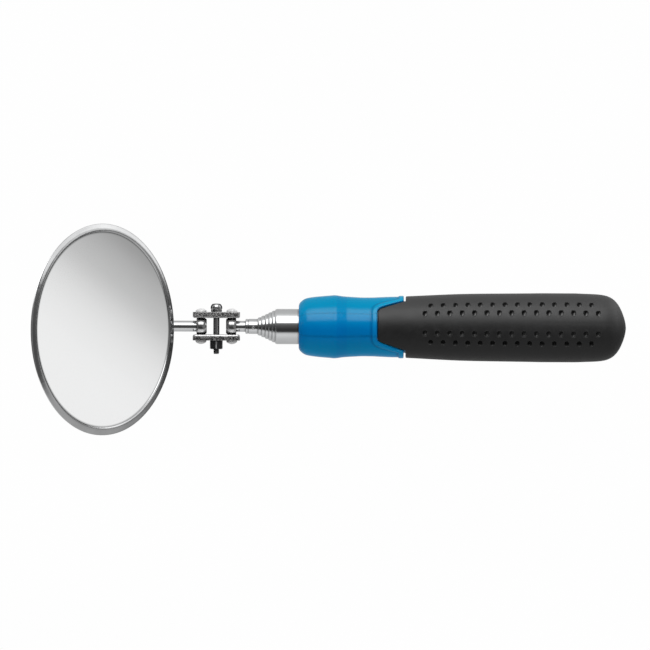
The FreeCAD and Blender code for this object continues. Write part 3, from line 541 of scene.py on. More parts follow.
def blue_plastic():
    """Glossy moulded core: even blue with slight flow clouding, fine scuffs and a soft texture."""
    s = new_material("core_blue")
    slow = s.noise(scale=38.0, detail=4.0, rough=0.55)
    fine = s.noise(scale=3800.0, detail=2.0)
    scuff = s.noise(scale=210.0, detail=5.0, rough=0.7, stretch=(0.3, 1, 1))
    colour = s.mix(s.smooth(slow, over=(0.3, 0.7)), (0.0, 0.288, 0.64), (0.0, 0.318, 0.70))
    # painted highlight: convex edges lightened towards cyan
    colour = s.tint(colour, s.edge(over=(0.515, 0.57)), amount=0.35, to=(0.06, 0.52, 0.86))
    # painted shade: crevices darkened
    colour = s.tint(colour, s.crevice(distance=0.0010, over=(0.2, 0.9)), amount=0.6,
                    to=(0.0, 0.06, 0.16))
    colour = s.tint(colour, s.map(scuff, over=(0.62, 0.74)), amount=0.08, to=(0.05, 0.40, 0.75))
    # painted light round the notch: a painted highlight on the raised lip, stronger where it faces up, and painted
    # shade in the valley beyond it and on the notch's dark rim
    distance = s.attribute("notch_distance")
    lip = s.band(distance, rise=(0.25, 0.55), fall=(1.15, 1.75))
    valley = s.band(distance, rise=(1.7, 2.2), fall=(2.4, 3.3))
    rim = s.smooth(distance, over=(0.10, 0.32), to=(1, 0))
    up = s.facing_up()
    colour = s.tint(colour, lip, amount=s.map(up, over=(-0.5, 0.5), to=(0.15, 0.50)),
                    to=(0.01, 0.44, 0.86))
    colour = s.tint(colour, valley, amount=0.45, to=(0.0, 0.13, 0.36))
    colour = s.tint(colour, rim, amount=0.45, to=(0.0, 0.07, 0.18))
    # painted shade: the band is darkened
    shaded_band = s.band(s.xyz(s.co)[0], rise=(SHADED_BAND[0] - SHADED_BAND_FADE, SHADED_BAND[0] + SHADED_BAND_FADE),
                  fall=(SHADED_BAND[1] - SHADED_BAND_FADE, SHADED_BAND[1] + SHADED_BAND_FADE))
    colour = s.tint(colour, shaded_band, amount=0.35, to=(0.0, 0.235, 0.62))
    # painted light and shade: the blue is lightened or darkened by how far the surface faces up
    stops = [((z + 1) / 2, (TONE_STORED, green * TONE_STORED, blue * TONE_STORED))
             for z, green, blue in BLUE_PAINTED_LIGHT]
    tone = s.ramp(s.map(up, over=(-1, 1)), stops, "B_SPLINE")
    colour = s.mix(1.0, colour, tone, "MULTIPLY")
    colour = s.mix(1.0, colour, (1 / TONE_STORED,) * 3, "MULTIPLY")
    # the gloss shows only where the mirrored light is strong, and not on the shaded band
    mirrored = s.xyz(s.node("ShaderNodeTexCoord").outputs["Reflection"])
    gloss = s.band(s.height_angle(mirrored[1], mirrored[2]),
                   rise=(math.radians(14), math.radians(24)),
                   fall=(math.radians(72), math.radians(84)))
    gloss = s.times(gloss, s.inverse(shaded_band))
    rough = s.plus(s.map(slow, over=(0.3, 0.7), to=(0.12, 0.16)),
                   s.map(scuff, over=(0.55, 0.75), to=(0.0, 0.07)))
    normal = s.bump(s.noise(scale=520.0), depth=0.000006)
    normal = s.bump(fine, depth=0.0000025, normal=normal)
    return s.surface(Base_Color=colour, Roughness=rough, Normal=normal,
                     Specular_IOR_Level=s.scaled(gloss, by=0.32, plus=0.06),
                     Specular_Tint=(0.9, 0.97, 1.0))


def black_rubber():
    """Satin elastomer: fine spark texture, slow sheen changes, paler ridges, painted shade in the dimples and
    painted light on one wall of each.
    """
    s = new_material("grip_black")
    slow = s.noise(scale=30.0, detail=4.0, rough=0.55)
    mid = s.noise(scale=320.0, detail=4.0, rough=0.6)
    fine = s.noise(scale=3000.0, rough=0.6)
    colour = s.mix(s.smooth(slow, over=(0.3, 0.7)), (0.017, 0.017, 0.0173), (0.023, 0.023, 0.0234))
    colour = s.tint(colour, s.map(mid, over=(0.45, 0.7)), amount=0.35, to=(0.034, 0.034, 0.0345))
    colour = s.tint(colour, s.edge(over=(0.51, 0.56)), amount=0.45, to=(0.060, 0.060, 0.061))
    # the dimples: painted shade inside, painted light on one wall
    pale = s.attribute("dimple_wall")
    dimple_shade = s.times(s.crevice(distance=0.0014, over=(0.35, 0.93)), 0.35)
    dimple_shade = s.math("MAXIMUM", dimple_shade, s.attribute("dimple"))
    dimple_shade = s.math("MULTIPLY", dimple_shade, s.inverse(pale), clamp=True)
    colour = s.tint(colour, dimple_shade, amount=0.9, to=(0.002, 0.002, 0.002))
    colour = s.tint(colour, pale, amount=0.85, to=(0.24, 0.24, 0.24))
    rough = s.plus(s.map(slow, over=(0.3, 0.7), to=(0.47, 0.53)),
                   s.map(mid, over=(0.35, 0.7), to=(-0.03, 0.06)))
    sheen = s.times(s.smooth(s.facing_up(), over=(-0.35, 0.55), to=(0.28, 0.80)),
                    s.scaled(dimple_shade, by=-0.92, plus=1.0))
    normal = s.bump(fine, depth=0.000010, normal=s.bump(mid, depth=0.000014))
    return s.surface(Base_Color=colour, Roughness=rough, Specular_IOR_Level=sheen, Normal=normal)


BLUE = blue_plastic()
BLACK = black_rubber()


# ------------------------------------------------------------------ other materials
def plug_plastic():
    s = new_material("plug_plastic")
    cloud = s.noise(scale=400.0, detail=4.0)
    return s.surface(Base_Color=s.mix(cloud, (0.05, 0.05, 0.05), (0.10, 0.10, 0.10)),
                     Roughness=s.map(cloud, over=(0.3, 0.7), to=(0.45, 0.6)),
                     Normal=s.bump(s.noise(scale=2500.0), depth=0.00001))


def pad_foam():
    s = new_material("pad_foam")
    cells = s.noise(scale=1400.0, detail=5.0, rough=0.7)
    return s.surface(Base_Color=s.mix(cells, (0.06, 0.06, 0.06), (0.16, 0.16, 0.16)),
                     Roughness=0.9, Normal=s.bump(cells, depth=0.00008))


# painted reflection: grey of the mirror against the distance up and to the right, in mm
GLASS_PAINTED_REFLECTION = [
    (-30, 0.93), (-18, 0.915), (-5, 0.87), (2, 0.83), (8, 0.785), (15, 0.71), (21, 0.63),
    (27, 0.565), (32, 0.53), (41, 0.46), (49, 0.37), (60, 0.30)]
GLASS_TINT = (1.0, 1.004, 1.004)
GLASS_LEAN = (0.0, -0.35, 0.35)     # added to the surface normal, tips the reflection forwards and up


def silvered_glass(centre, up, across):
    """Silvering seen through glass, with a painted reflection that falls off slowly in tone, painted shade at the
    edge and some haze.
    """
    s = new_material("silvered_glass")
    offset = s.vector("SUBTRACT", s.co, centre)
    right = s.vector("DOT_PRODUCT", offset, across, "Value")
    height = s.vector("DOT_PRODUCT", offset, up, "Value")
    # painted reflection: lower left is light, upper right is dark
    diagonal = s.plus(s.times(height, 1.2), s.times(right, 0.665))
    first, last = GLASS_PAINTED_REFLECTION[0][0], GLASS_PAINTED_REFLECTION[-1][0]
    tone = s.ramp(s.map(diagonal, over=(first * MM, last * MM)),
                  [((d - first) / (last - first), [grey * c for c in GLASS_TINT])
                   for d, grey in GLASS_PAINTED_REFLECTION])
    haze = s.noise(scale=60.0, detail=4.0, rough=0.6)
    tone = s.tint(tone, s.map(haze, over=(0.4, 0.7)), amount=0.03, to=(0.8, 0.8, 0.8))
    # painted shade: a dark ring along the glass's edge
    reach = s.math("SQRT", s.plus(s.times(right, right), s.times(height, height)))
    tone = s.tint(tone, s.map(reach, over=(0.03745, 0.0380)), amount=0.55,
                  to=(0.10, 0.105, 0.105))
    lean = s.vector("ADD", s.node("ShaderNodeNewGeometry").outputs["Normal"], GLASS_LEAN)
    unit = s.node("ShaderNodeVectorMath", {"operation": "NORMALIZE"})
    s.put(unit, 0, lean)
    return s.surface(Base_Color=tone, Roughness=s.map(haze, over=(0.3, 0.7), to=(0.045, 0.075)),
                     Metallic=1.0, Normal=unit.outputs[0])


# ------------------------------------------------------------------ handle outlines
# collar: (x from its mirror end, radius)
COLLAR = [
    (0.0, 8.3), (0.12, 8.75), (0.4, 9.3), (0.9, 9.85), (1.6, 10.45), (2.5, 10.98), (3.7, 11.34),
    (5.4, 11.62), (7.6, 11.88), (9.9, 12.08), (12.3, 12.28), (14.05, 12.42), (15.0, 12.35),
    (16.9, 12.06), (18.9, 11.88), (21.7, 11.71), (25.3, 11.55), (28.8, 11.57), (31.2, 11.68),
    (33.5, 11.78), (36.9, 11.90), (42.0, 11.95)]
# grip up to its nose: (x, radius), with a straight seat about x = 0
SEAT_R = 13.56
GRIP = [
    (-72.0, 11.40), (-70.8, 11.52), (-67.0, 11.72), (-63.0, 11.92), (-60.0, 12.09),
    (-54.2, 12.38), (-49.5, 12.62), (-44.8, 12.85), (-40.1, 13.05), (-35.4, 13.18),
    (-30.7, 13.27), (-21.2, 13.38), (-11.8, 13.48), (-6.0, SEAT_R), (6.0, SEAT_R), (9.5, 13.45),
    (14.0, 13.28), (15.5, 13.19), (17.2, 13.0)]
# grip's rounded nose: (x, radius)
NOSE = [
    GRIP[-1], (18.6, 12.72), (20.0, 12.25), (21.2, 11.6), (22.3, 10.72), (23.3, 9.6),
    (24.15, 8.3), (24.9, 6.8), (25.55, 5.2), (26.1, 3.5), (26.5, 1.75), (26.7, 0.0)]
NOSE_START, NOSE_END = NOSE[0][0], NOSE[-1][0]
# distances from an edge at which rows or columns are laid
EDGE_ROWS = np.array([0, .015, .05, .1, .17, .26, .38, .52, .7, .9, 1.1, 1.4, 1.7])
EDGE_COLUMNS = np.array([0, .03, .08, .15, .25, .36, .5, .7, .95, 1.25, 1.6, 2.0, 2.4])

# dimples: four rows on the front and on the back, the top row first
DIMPLE_TURN = 3.2                           # degrees
DIMPLE_ANGLES = (35.2, 18.3, -18.3, -35.2)  # degrees from the turned middle
DIMPLE_COUNTS = (14, 15, 15, 14)
DIMPLE_STARTS = (-50.1, -52.35, -52.35, -50.1)
DIMPLE_PITCH = 4.853
DIMPLE_HALF_X, DIMPLE_HALF_ARC = 0.92, 1.16
DIMPLE_DEPTH = 0.98
GRIP_ARC = 13.2                             # mm per radian on the grip
# painted shade inside the dimples and painted light on their +X walls, row by row
PIT_SHADE = (0.80, 0.80, 0.05, 0.75)        # how dark the dimples of each row are inside
WALL_PAINTED_LIGHT = (0.80, 1.0, 0.35, 0.02)        # and how pale their +X walls
DIMPLES = [(start + DIMPLE_PITCH * k, math.radians(DIMPLE_TURN + angle + side), row)
           for side in (0.0, 180.0)
           for row, (start, count, angle)
           in enumerate(zip(DIMPLE_STARTS, DIMPLE_COUNTS, DIMPLE_ANGLES))
           for k in range(count)]


def notch_outline(x_bottom, x_open, inset, corner, tip):
    """Half of the U-shaped notch in (x, arc length): from the middle of its bottom edge, along
    the arm, round the arm's tip. An inset gives the tongue that fits inside it."""
    slope = 0.408
    bottom = 7.12 - inset * 1.08 + slope * inset
    top = bottom + slope * (x_open - x_bottom)
    points = [(x_bottom, 0.0), (x_bottom, bottom, corner), (x_open, top, tip), (x_open, 18.85)]
    return fillet(points, closed=False, segments=24)


def half_width(outline, x):
    """Arc length from the notch's middle to the arm at each x."""
    side = outline[np.argmax(outline[:, 1] > 0.01):]
    x = np.clip(x, side[0, 0], side[-1, 0])
    # where the outline's x stands still, the first value is kept
    keep = np.concatenate([[True], np.diff(side[:, 0]) > 1e-6])
    return np.interp(x, side[keep, 0], side[keep, 1])


def bottom_half_angle(outline, past_x):
    """Half the angle of the outline's flat end, which stops before past_x."""
    return outline[np.argmax(outline[:, 0] > past_x) - 1, 1] / ARC


def edge_distance(outline, x, phi):
    """Distance in mm from points to the outline and its mirror images."""
    dense = []
    for start, end in zip(outline[:-1], outline[1:]):
        steps = max(2, int(np.hypot(*(end - start)) / 0.05))
        dense.append(start + (end - start) * (np.arange(steps) / steps)[:, None])
    dense = np.concatenate(dense + [outline[-1:]])
    arc = np.abs(wrap(phi)) * ARC
    arc = np.minimum(arc, math.pi * ARC - arc)
    distance = np.empty(len(x))
    for i in range(0, len(x), 4000):    # in blocks, to spare memory
        part = slice(i, i + 4000)
        square = (x[part, None] - dense[None, :, 0]) ** 2
        square += (arc[part, None] - dense[None, :, 1]) ** 2
        distance[part] = np.sqrt(square.min(1))
    return distance


def graded(low, high, coarse):
    """Values from low to high, closely spaced near both ends."""
    near = EDGE_COLUMNS[EDGE_COLUMNS < (high - low) * 0.3]
    left, right = low + near, high - near[::-1]
    count = max(2, int(math.ceil((right[0] - left[-1]) / coarse)) + 1)
    return np.concatenate([left, np.linspace(left[-1], right[0], count)[1:-1], right])


class Skin:
    """Vertices, faces and painted values of a handle piece."""

    def __init__(self):
        self.verts, self.faces, self.paint = [], [], []

    def add(self, x, phi, r, painted):
        """Adds a grid of points and gives back their numbers. phi rises from the front."""
        ids = np.arange(len(self.verts), len(self.verts) + x.size).reshape(x.shape)
        turned, r = phi.ravel() + CLOCK, r.ravel()
        points = np.stack([x.ravel(), -r * np.cos(turned), r * np.sin(turned)], -1)
        self.verts.extend(points.tolist())
        self.paint.extend(painted)
        return ids

    def grid(self, ids):
        corners = [ids[:-1, :-1], ids[:-1, 1:], ids[1:, 1:], ids[1:, :-1]]
        self.faces += [tuple(q) for q in np.stack(corners, -1).reshape(-1, 4).tolist()]

    def strip(self, a, b):
        count = len(a)
        for i in range(count):
            k = (i + 1) % count
            self.faces.append((a[i], a[k], b[k], b[i]))

    def walls(self, outer, inner, fractions):
        """Joins two closed loops by rings at the given fractions of the way."""
        start = np.array([self.verts[i] for i in outer])
        end = np.array([self.verts[i] for i in inner])
        last = outer
        for fraction in fractions:
            ids = list(range(len(self.verts), len(self.verts) + len(start)))
            self.verts.extend((start + (end - start) * fraction).tolist())
            self.strip(last, ids)
            last = ids
        self.strip(last, inner)


def build_collar():
    """Ring with two arms that reach along the grip above and below, and a lip round each notch."""
    skin = Skin()
    outline = notch_outline(NOTCH_X, ARM_X, inset=0.0, corner=2.8, tip=1.1)
    flat_half = bottom_half_angle(outline, NOTCH_X + 1e-6)
    # columns: front flat, upper arm, back flat, lower arm
    flat = np.linspace(-flat_half, flat_half, 37)
    arm_rows = np.unique(np.concatenate([
        NOTCH_X + EDGE_ROWS,
        np.linspace(NOTCH_X + 2.0, ARM_X - 1.6, 24),
        ARM_X - np.array([1.3, 1.05, .85, .68, .52, .38, .26, .16, .08, .03, 0])]))
    half = half_width(outline, arm_rows) / ARC
    half[-1] = outline[np.where(np.diff(outline[:, 0]) > 1e-6)[0][-1] + 1, 1] / ARC
    arm_width = (math.pi - 2 * half[0]) * ARC
    share = graded(0.0, arm_width, coarse=0.55) / arm_width
    ring_rows = np.concatenate([
        COLLAR_X + np.array([0, .04, .1, .2, .32, .46, .62, .8, 1.0, 1.25, 1.55, 1.9]),
        np.arange(COLLAR_X + 2.3, NOTCH_X - 2.6, 0.42),
        NOTCH_X - np.array([2.45, 2.2, 1.95, 1.7, 1.45, 1.2, .95, .72, .5, .36, .25, .15, .08,
                            .03, 0])])
    inner_rows = np.array([COLLAR_X, -84.0, -83.0, -81.9, NOTCH_X - 1.5, NOTCH_X])
    inner_r = SLEEVE_R - 0.06
    stations = np.array([x for x, _ in COLLAR]) + COLLAR_X
    radii = [r for _, r in COLLAR]

    def add(x, phi, r=None):
        """Adds a grid, on the outer surface unless r is given."""
        distance = edge_distance(outline, x.ravel(), phi.ravel())
        if r is None:
            lip = smoothstep(2.25, 1.75, distance) * 0.36
            r = pchip(stations, radii, x.ravel()) + lip - round_over(distance, 0.46)
        return skin.add(x, phi, r, distance)

    def arm_phi(start):
        return start[:, None] + share[None, :] * (math.pi - 2 * start[:, None])

    first_arm = arm_phi(half[:1])[0][:-1]
    ring_phi = np.concatenate([flat[:-1], first_arm, math.pi + flat[:-1], math.pi + first_arm])
    flats, arms_across = len(flat) - 1, len(share) - 1
    rear_loops, end_loops = [], []
    for outer in (True, False):
        x, phi = np.meshgrid(ring_rows if outer else inner_rows, ring_phi, indexing="ij")
        ring = add(x, phi, None if outer else np.where(x < -82.5, TUBE_R + 0.03, inner_r))
        closed = np.concatenate([ring, ring[:, :1]], 1)
        skin.grid(closed)
        # the rear edge: front flat, up the upper arm, over its tip, down, back flat, and so on
        loop = []
        for side in (0, 1):
            x = np.repeat(arm_rows[1:, None], len(share), 1)
            phi = arm_phi(half[1:]) + side * math.pi
            ids = add(x, phi, None if outer else np.full(x.shape, inner_r))
            start = side * (flats + arms_across)
            first = start + flats
            arm = np.vstack([closed[-1, first:first + arms_across + 1][None, :], ids])
            skin.grid(arm)
            loop += [*closed[-1, start:first], *arm[:-1, 0], *arm[-1, :-1], *arm[1:, -1][::-1]]
        rear_loops.append(loop)
        end_loops.append(list(ring[0]))
    skin.walls(*rear_loops, (0.04, 0.3, 0.7))
    skin.walls(*end_loops, (0.06, 0.2, 0.5, 0.85))
    sleeve, sleeve_faces = lathe(fillet([
        (SLEEVE_X[0], TUBE_R + 0.02), (SLEEVE_X[1], TUBE_R + 0.02),
        (SLEEVE_X[1], SLEEVE_R), (SLEEVE_X[0], SLEEVE_R)]), 96, closed=True)
    sleeve = sleeve @ np.array(Matrix.Rotation(-CLOCK, 3, "X")).T
    return [(np.array(skin.verts), skin.faces), (sleeve, sleeve_faces)], skin.paint


def grip_columns(half_degrees):
    """Angles in degrees across a tongue, fine over the dimples and at both edges."""
    angles = list(np.arange(-half_degrees + 3, half_degrees - 2.9, 2.2))
    for angle in DIMPLE_ANGLES:
        angles += list(np.arange(DIMPLE_TURN + angle - 6.0, DIMPLE_TURN + angle + 6.01, 0.92))
    angles = sorted(set(round(a, 3) for a in angles))
    spaced = [angles[0]]
    for a in angles[1:]:
        if a - spaced[-1] > 0.6:
            spaced.append(a)
    near = np.degrees(np.array([0, .03, .08, .15, .25, .36, .52, .75, 1.1]) / ARC)
    return np.concatenate([-half_degrees + near,
                           [a for a in spaced if abs(a) < half_degrees - 6.0],
                           half_degrees - near[::-1]])


def press_dimples(x, phi, r):
    """Sinks the dimples into r, and gives back the painted shade of each point's pit and the painted light of its
    wall.
    """
    shades = np.zeros((len(r), 2))
    for x0, angle, row in DIMPLES:
        near = np.abs(x - x0) < 1.4
        if not near.any():
            continue
        u = (x[near] - x0) / DIMPLE_HALF_X
        v = wrap(phi[near] - angle) * GRIP_ARC / DIMPLE_HALF_ARC
        reach = np.sqrt(u * u + v * v)
        rim = 0.06 * np.exp(-((reach - 1.12) / 0.10) ** 2)
        r[near] -= DIMPLE_DEPTH * np.sqrt(np.maximum(1 - reach ** 2.8, 0)) - rim
        # painted shade in the pit and painted light on the +X wall
        shades[near, 0] += PIT_SHADE[row] * smoothstep(1.0, 0.72, reach)
        shades[near, 1] += (WALL_PAINTED_LIGHT[row] * smoothstep(-0.05, 0.45, 0.92 * u - 0.40 * v)
                            * smoothstep(0.95, 0.70, reach))
    return shades


def build_grip():
    """Round grip with a closed nose, and two tongues that fill the collar's notches."""
    skin = Skin()
    tongue_end = TONGUE_X + 0.02
    outline = notch_outline(tongue_end, SHOULDER_X + 4, inset=0.32, corner=2.45, tip=0.1)
    tongue_rows = np.unique(np.concatenate([
        tongue_end + EDGE_ROWS,
        np.arange(TONGUE_X + 2.1, SHOULDER_X - 0.02, 0.4)]))
    body_rows = np.unique(np.concatenate([
        SHOULDER_X + np.array([0, .03, .08, .15, .25, .36, .5, .8, 1.3, 1.9]),
        np.arange(SHOULDER_X + 2.5, -54.0, 0.55),
        np.arange(-54.0, NOSE_START, 0.235)]))
    tongue_half = half_width(outline, tongue_rows) / ARC
    tongue_half[0] = bottom_half_angle(outline, TONGUE_X + 0.03)
    shoulder_half = float(half_width(outline, np.array([SHOULDER_X]))[0]) / ARC
    across = np.radians(grip_columns(math.degrees(shoulder_half))) / shoulder_half    # -1 to 1
    arm = shoulder_half + graded(0.0, (math.pi - 2 * shoulder_half) * ARC, coarse=0.6) / ARC

    grip_x, grip_r = np.array(GRIP).T
    nose_x, nose_r = np.array(NOSE).T
    length = path_length(nose_x, nose_r)
    fine = np.linspace(0, length[-1], 400)
    nose_x, nose_r = pchip(length, nose_x, fine), pchip(length, nose_r, fine)
    body_rows = np.concatenate([body_rows[body_rows < 17.0], nose_x[::7][:-1], nose_x[-6:-1:2]])

    def outside(x, phi, on_tongue):
        """Radius and painted shades of the outer surface."""
        shape, x, phi = x.shape, x.ravel(), phi.ravel()
        r = np.where(x > NOSE_START, np.interp(x, nose_x, nose_r),
                     pchip(grip_x, grip_r, np.minimum(x, NOSE_START)))
        shades = press_dimples(x, phi, r)
        # parting line along the middle of the front and back
        line = np.minimum(np.abs(wrap(phi - math.radians(3.0))),
                          np.abs(wrap(phi - math.radians(183.0)))) * GRIP_ARC
        fade = smoothstep(-9.0, -4.0, x) * smoothstep(26.0, 20.0, x)
        r -= 0.05 * np.exp(-(line / 0.22) ** 2) * fade
        if on_tongue:
            distance = edge_distance(outline, x, phi)
            r -= round_over(np.where(x < SHOULDER_X, distance, 9.0), 0.4)
        return r.reshape(shape), shades

    def bore(x):
        return np.full(x.shape, SLEEVE_R + 0.03), np.zeros((x.size, 2))

    front = across[:-1] * shoulder_half
    body_phi = np.concatenate([front, arm[:-1], math.pi + front, math.pi + arm[:-1]])
    tongue_columns, arm_columns = len(across) - 1, len(arm) - 1
    is_arm = np.tile(np.repeat([False, True], [tongue_columns, arm_columns]), 2)
    loops = []
    for outer in (True, False):
        rows = body_rows if outer else np.array([SHOULDER_X, SHOULDER_X + 2.0, 0.0, BORE_X])
        x, phi = np.meshgrid(rows, body_phi, indexing="ij")
        if outer:
            r, shades = outside(x, phi, on_tongue=False)
            # the shoulder's edge is rounded where the arms end against it
            turn = np.abs(wrap(phi))
            from_tongue = np.minimum(np.abs(turn - shoulder_half),
                                     np.abs(turn - math.pi + shoulder_half)) * ARC
            r = r - (round_over(x - SHOULDER_X, 0.45) * is_arm[None, :]
                     * smoothstep(0.0, 0.9, from_tongue))
        else:
            r, shades = bore(x)
        body = skin.add(x, phi, r, shades)
        closed = np.concatenate([body, body[:, :1]], 1)
        skin.grid(closed)
        pole = len(skin.verts)
        skin.verts.append([NOSE_END if outer else BORE_X, 0.0, 0.0])
        skin.paint.append((0.0, 0.0))
        skin.faces += [(int(closed[-1, j]), int(closed[-1, j + 1]), pole)
                       for j in range(len(body_phi))]
        loop = []
        for side in (0, 1):
            x = np.repeat(tongue_rows[:, None], len(across), 1)
            phi = tongue_half[:, None] * across[None, :] + side * math.pi
            r, shades = outside(x, phi, on_tongue=True) if outer else bore(x)
            ids = skin.add(x, phi, r, shades)
            start = side * (tongue_columns + arm_columns)
            first = start + tongue_columns
            tongue = np.vstack([ids, closed[0, start:first + 1][None, :]])
            skin.grid(tongue)
            # from the shoulder to the tip, across it, back, and along the arm's end
            loop += [*tongue[1:, 0][::-1], *tongue[0, :], *tongue[1:-1, -1],
                     *closed[0, first:first + arm_columns]]
        loops.append(loop)
    skin.walls(*loops, (0.05, 0.3, 0.7))
    return [(np.array(skin.verts), skin.faces)], np.array(skin.paint)


grip_parts, grip_paint = build_grip()
grip = make("grip_body", grip_parts, BLACK, "grip", sharp=50)
# painted shade in the dimples and painted light on their walls
paint(grip, "dimple", grip_paint[:, 0])
paint(grip, "dimple_wall", grip_paint[:, 1])
collar_parts, notch_paint = build_collar()
collar = make("handle_collar", collar_parts, BLUE, "handle_core", sharp=50)
paint(collar, "notch_distance", notch_paint, rest=9.0)
collar.visible_glossy = False     # keeps its colour out of the chrome


# ------------------------------------------------------------------ telescoping tubes
TUBE_WALL = 0.35
LAST_TUBE = 7


def build_tube(number):
    """Tube whose mouth is rolled inwards over the bush: a quarter oval, longer than high."""
    low, high = box(f"tube_{number}")
    start, end, r = low[0], high[0], radius_of(f"tube_{number}")
    lip = radius_of(f"tube_{number + 1}") + 0.03
    profile = fillet([
        (start, lip + 0.06), (start + 0.06, lip), (start + 1.2, lip, 0.05),
        (start + 1.2, r - TUBE_WALL), (end, r - TUBE_WALL, 0.05), (end, r, 0.05)],
        closed=False, segments=8)
    roll_depth, roll_length = r - lip - 0.07, 1.05
    t = np.radians(np.linspace(0, 90, 15))
    roll = np.stack([start + roll_length * (1 - np.sin(t)), r - roll_depth * (1 - np.cos(t))], 1)
    profile = np.concatenate([profile, [[start + roll_length + 0.35, r]], roll])
    return lathe(profile, 160, closed=True)


def build_last_tube():
    """Thinnest tube, crimped onto its ferrule by a small mark front and back."""
    low, high = box(f"tube_{LAST_TUBE}")
    start, end, r = low[0], high[0], radius_of(f"tube_{LAST_TUBE}")
    points = [(start, r - TUBE_WALL, 0.05), (end, r - TUBE_WALL, 0.05), (end, r, 0.05)]
    points += [(x, r) for x in np.arange(start + 4.2, start + 0.35, -0.09)]
    points.append((start, r, 0.14))
    mark_x, mark_r = start + 1.85, 0.55

    def crimped(x, ring_r, angles):
        out = np.full(len(angles), ring_r)
        if ring_r < r - 0.2:
            return out
        for side, z in ((0.0, -0.6), (math.pi, 0.6)):
            turn = wrap(angles - side - math.asin(z / r))
            reach = np.sqrt(((x - mark_x) / mark_r) ** 2 + (turn * r / mark_r) ** 2)
            ridge = 0.03 * np.exp(-((reach - 1.3) / 0.25) ** 2)
            out -= 0.20 * smoothstep(1.0, 0.55, reach) - ridge
        return out

    return lathe(fillet(points, segments=6), 192, closed=True, radius=crimped)


for i in range(1, LAST_TUBE + 1):
    tube = build_tube(i) if i < LAST_TUBE else build_last_tube()
    make(f"tube_section_{i}", [tube], TUBE, f"tube_{i}")


def build_ferrule():
    """Ring at the mouth of the last tube, with a groove where they meet and a spigot inside."""
    low, high = box("tip_ferrule")
    start, end, r = low[0], high[0], radius_of("tip_ferrule")
    seam = box(f"tube_{LAST_TUBE}")[0][0]
    face, groove, spigot = r - 0.02, r - 0.16, r - 0.36
    return lathe(fillet([
        (start, ROD_R + 0.02, 0.12), (start, face, 0.42), (start + 0.86, face, 0.10),
        (start + 0.95, groove, 0.06), (seam - 0.12, groove, 0.06), (seam - 0.03, r - 0.03, 0.08),
        (seam, spigot, 0.05), (end, spigot, 0.1), (end, ROD_R + 0.02, 0.05)]), 160, closed=True)


def build_ball_rod():
    low, high = box("ball_rod")
    return lathe(fillet([(low[0], 0.0), (low[0], ROD_R, 0.1), (high[0], ROD_R, 0.35),
                         (high[0], 0.0)], closed=False), 128)


make("tip_ferrule_ring", [build_ferrule()], ROD, "tip_ferrule")
make("ball_rod_bar", [build_ball_rod()], ROD, "ball_rod")


# ------------------------------------------------------------------ joint balls
def build_ball(bore_r, bore_depth):
    """Drilled ball with two flats, its bore to +X. The bore and both flats are chamfered."""
    ball_r, bore_flat, far_flat = 3.55, 1.75, 2.25
    start = math.acos(bore_flat / ball_r)
    end = math.pi - math.acos(far_flat / ball_r)
    y = math.sqrt(ball_r * ball_r - bore_flat * bore_flat)
    points = [(-bore_depth, 0.0), (-bore_depth, bore_r), (bore_flat - 0.12, bore_r),
              (bore_flat, bore_r + 0.14), (bore_flat, y - 0.22), (bore_flat - 0.015, y - 0.12),
              (bore_flat - 0.06, y - 0.03)]
    for k in range(1, 60):
        a = start + (end - start) * k / 60
        points.append((ball_r * math.cos(a), ball_r * math.sin(a)))
    y = math.sqrt(ball_r * ball_r - far_flat * far_flat)
    points += [(-far_flat + 0.06, y - 0.03), (-far_flat + 0.015, y - 0.12), (-far_flat, y - 0.22),
               (-far_flat, 0.9), (-far_flat + 0.05, 0.75), (-far_flat + 0.35, 0.0)]
    return lathe(points, 160)


verts, faces = build_ball(ROD_R, bore_depth=1.0)
make("rod_ball_faced", [(verts + [joint_x("rod_ball_swing"), 0, 0], faces)], BALL, "rod_ball")
verts, faces = build_ball(ROD_R + 0.03, bore_depth=1.03)
verts = verts * [-1, -1, 1] + [joint_x("mirror_ball_swing"), 0, 0]
make("mirror_ball_faced", [(verts, faces)], BALL, "mirror_ball")


# ------------------------------------------------------------------ clamp
def tumbled_plate(name, node):
    """The pressed plate from the frame, its edges softened and its faces slightly uneven."""
    mesh = NODES[node].data.copy()
    plate = bpy.data.objects.new(name, mesh)
    bpy.context.scene.collection.objects.link(plate)
    bm = bmesh.new()
    bm.from_mesh(mesh)
    bmesh.ops.remove_doubles(bm, verts=bm.verts, dist=1e-6)
    bm.to_mesh(mesh)
    bm.free()
    skin = plate.modifiers.new("skin", "REMESH")
    skin.mode = "VOXEL"
    skin.voxel_size = 0.000115
    skin.use_smooth_shade = True
    soften = plate.modifiers.new("soften", "SMOOTH")
    soften.factor = 0.5
    soften.iterations = 5
    clouds = bpy.data.textures.new(name + "_uneven", "CLOUDS")
    clouds.noise_scale = 0.0011
    clouds.noise_depth = 3
    uneven = plate.modifiers.new("uneven", "DISPLACE")
    uneven.texture = clouds
    uneven.texture_coords = "LOCAL"
    uneven.strength = 0.00016
    uneven.mid_level = 0.5
    depsgraph = bpy.context.evaluated_depsgraph_get()
    baked = bpy.data.meshes.new_from_object(plate.evaluated_get(depsgraph))
    plate.modifiers.clear()
    plate.data = baked
    baked.materials.clear()
    baked.materials.append(PLATE)
    baked.shade_smooth()
    register(plate, node)


tumbled_plate("clamp_plate_top", "clamp_plate_upper")
tumbled_plate("clamp_plate_bottom", "clamp_plate_lower")

WASHER_LOW, WASHER_TOP = box("clamp_lock_washer")[0][2], box("clamp_lock_washer")[1][2]


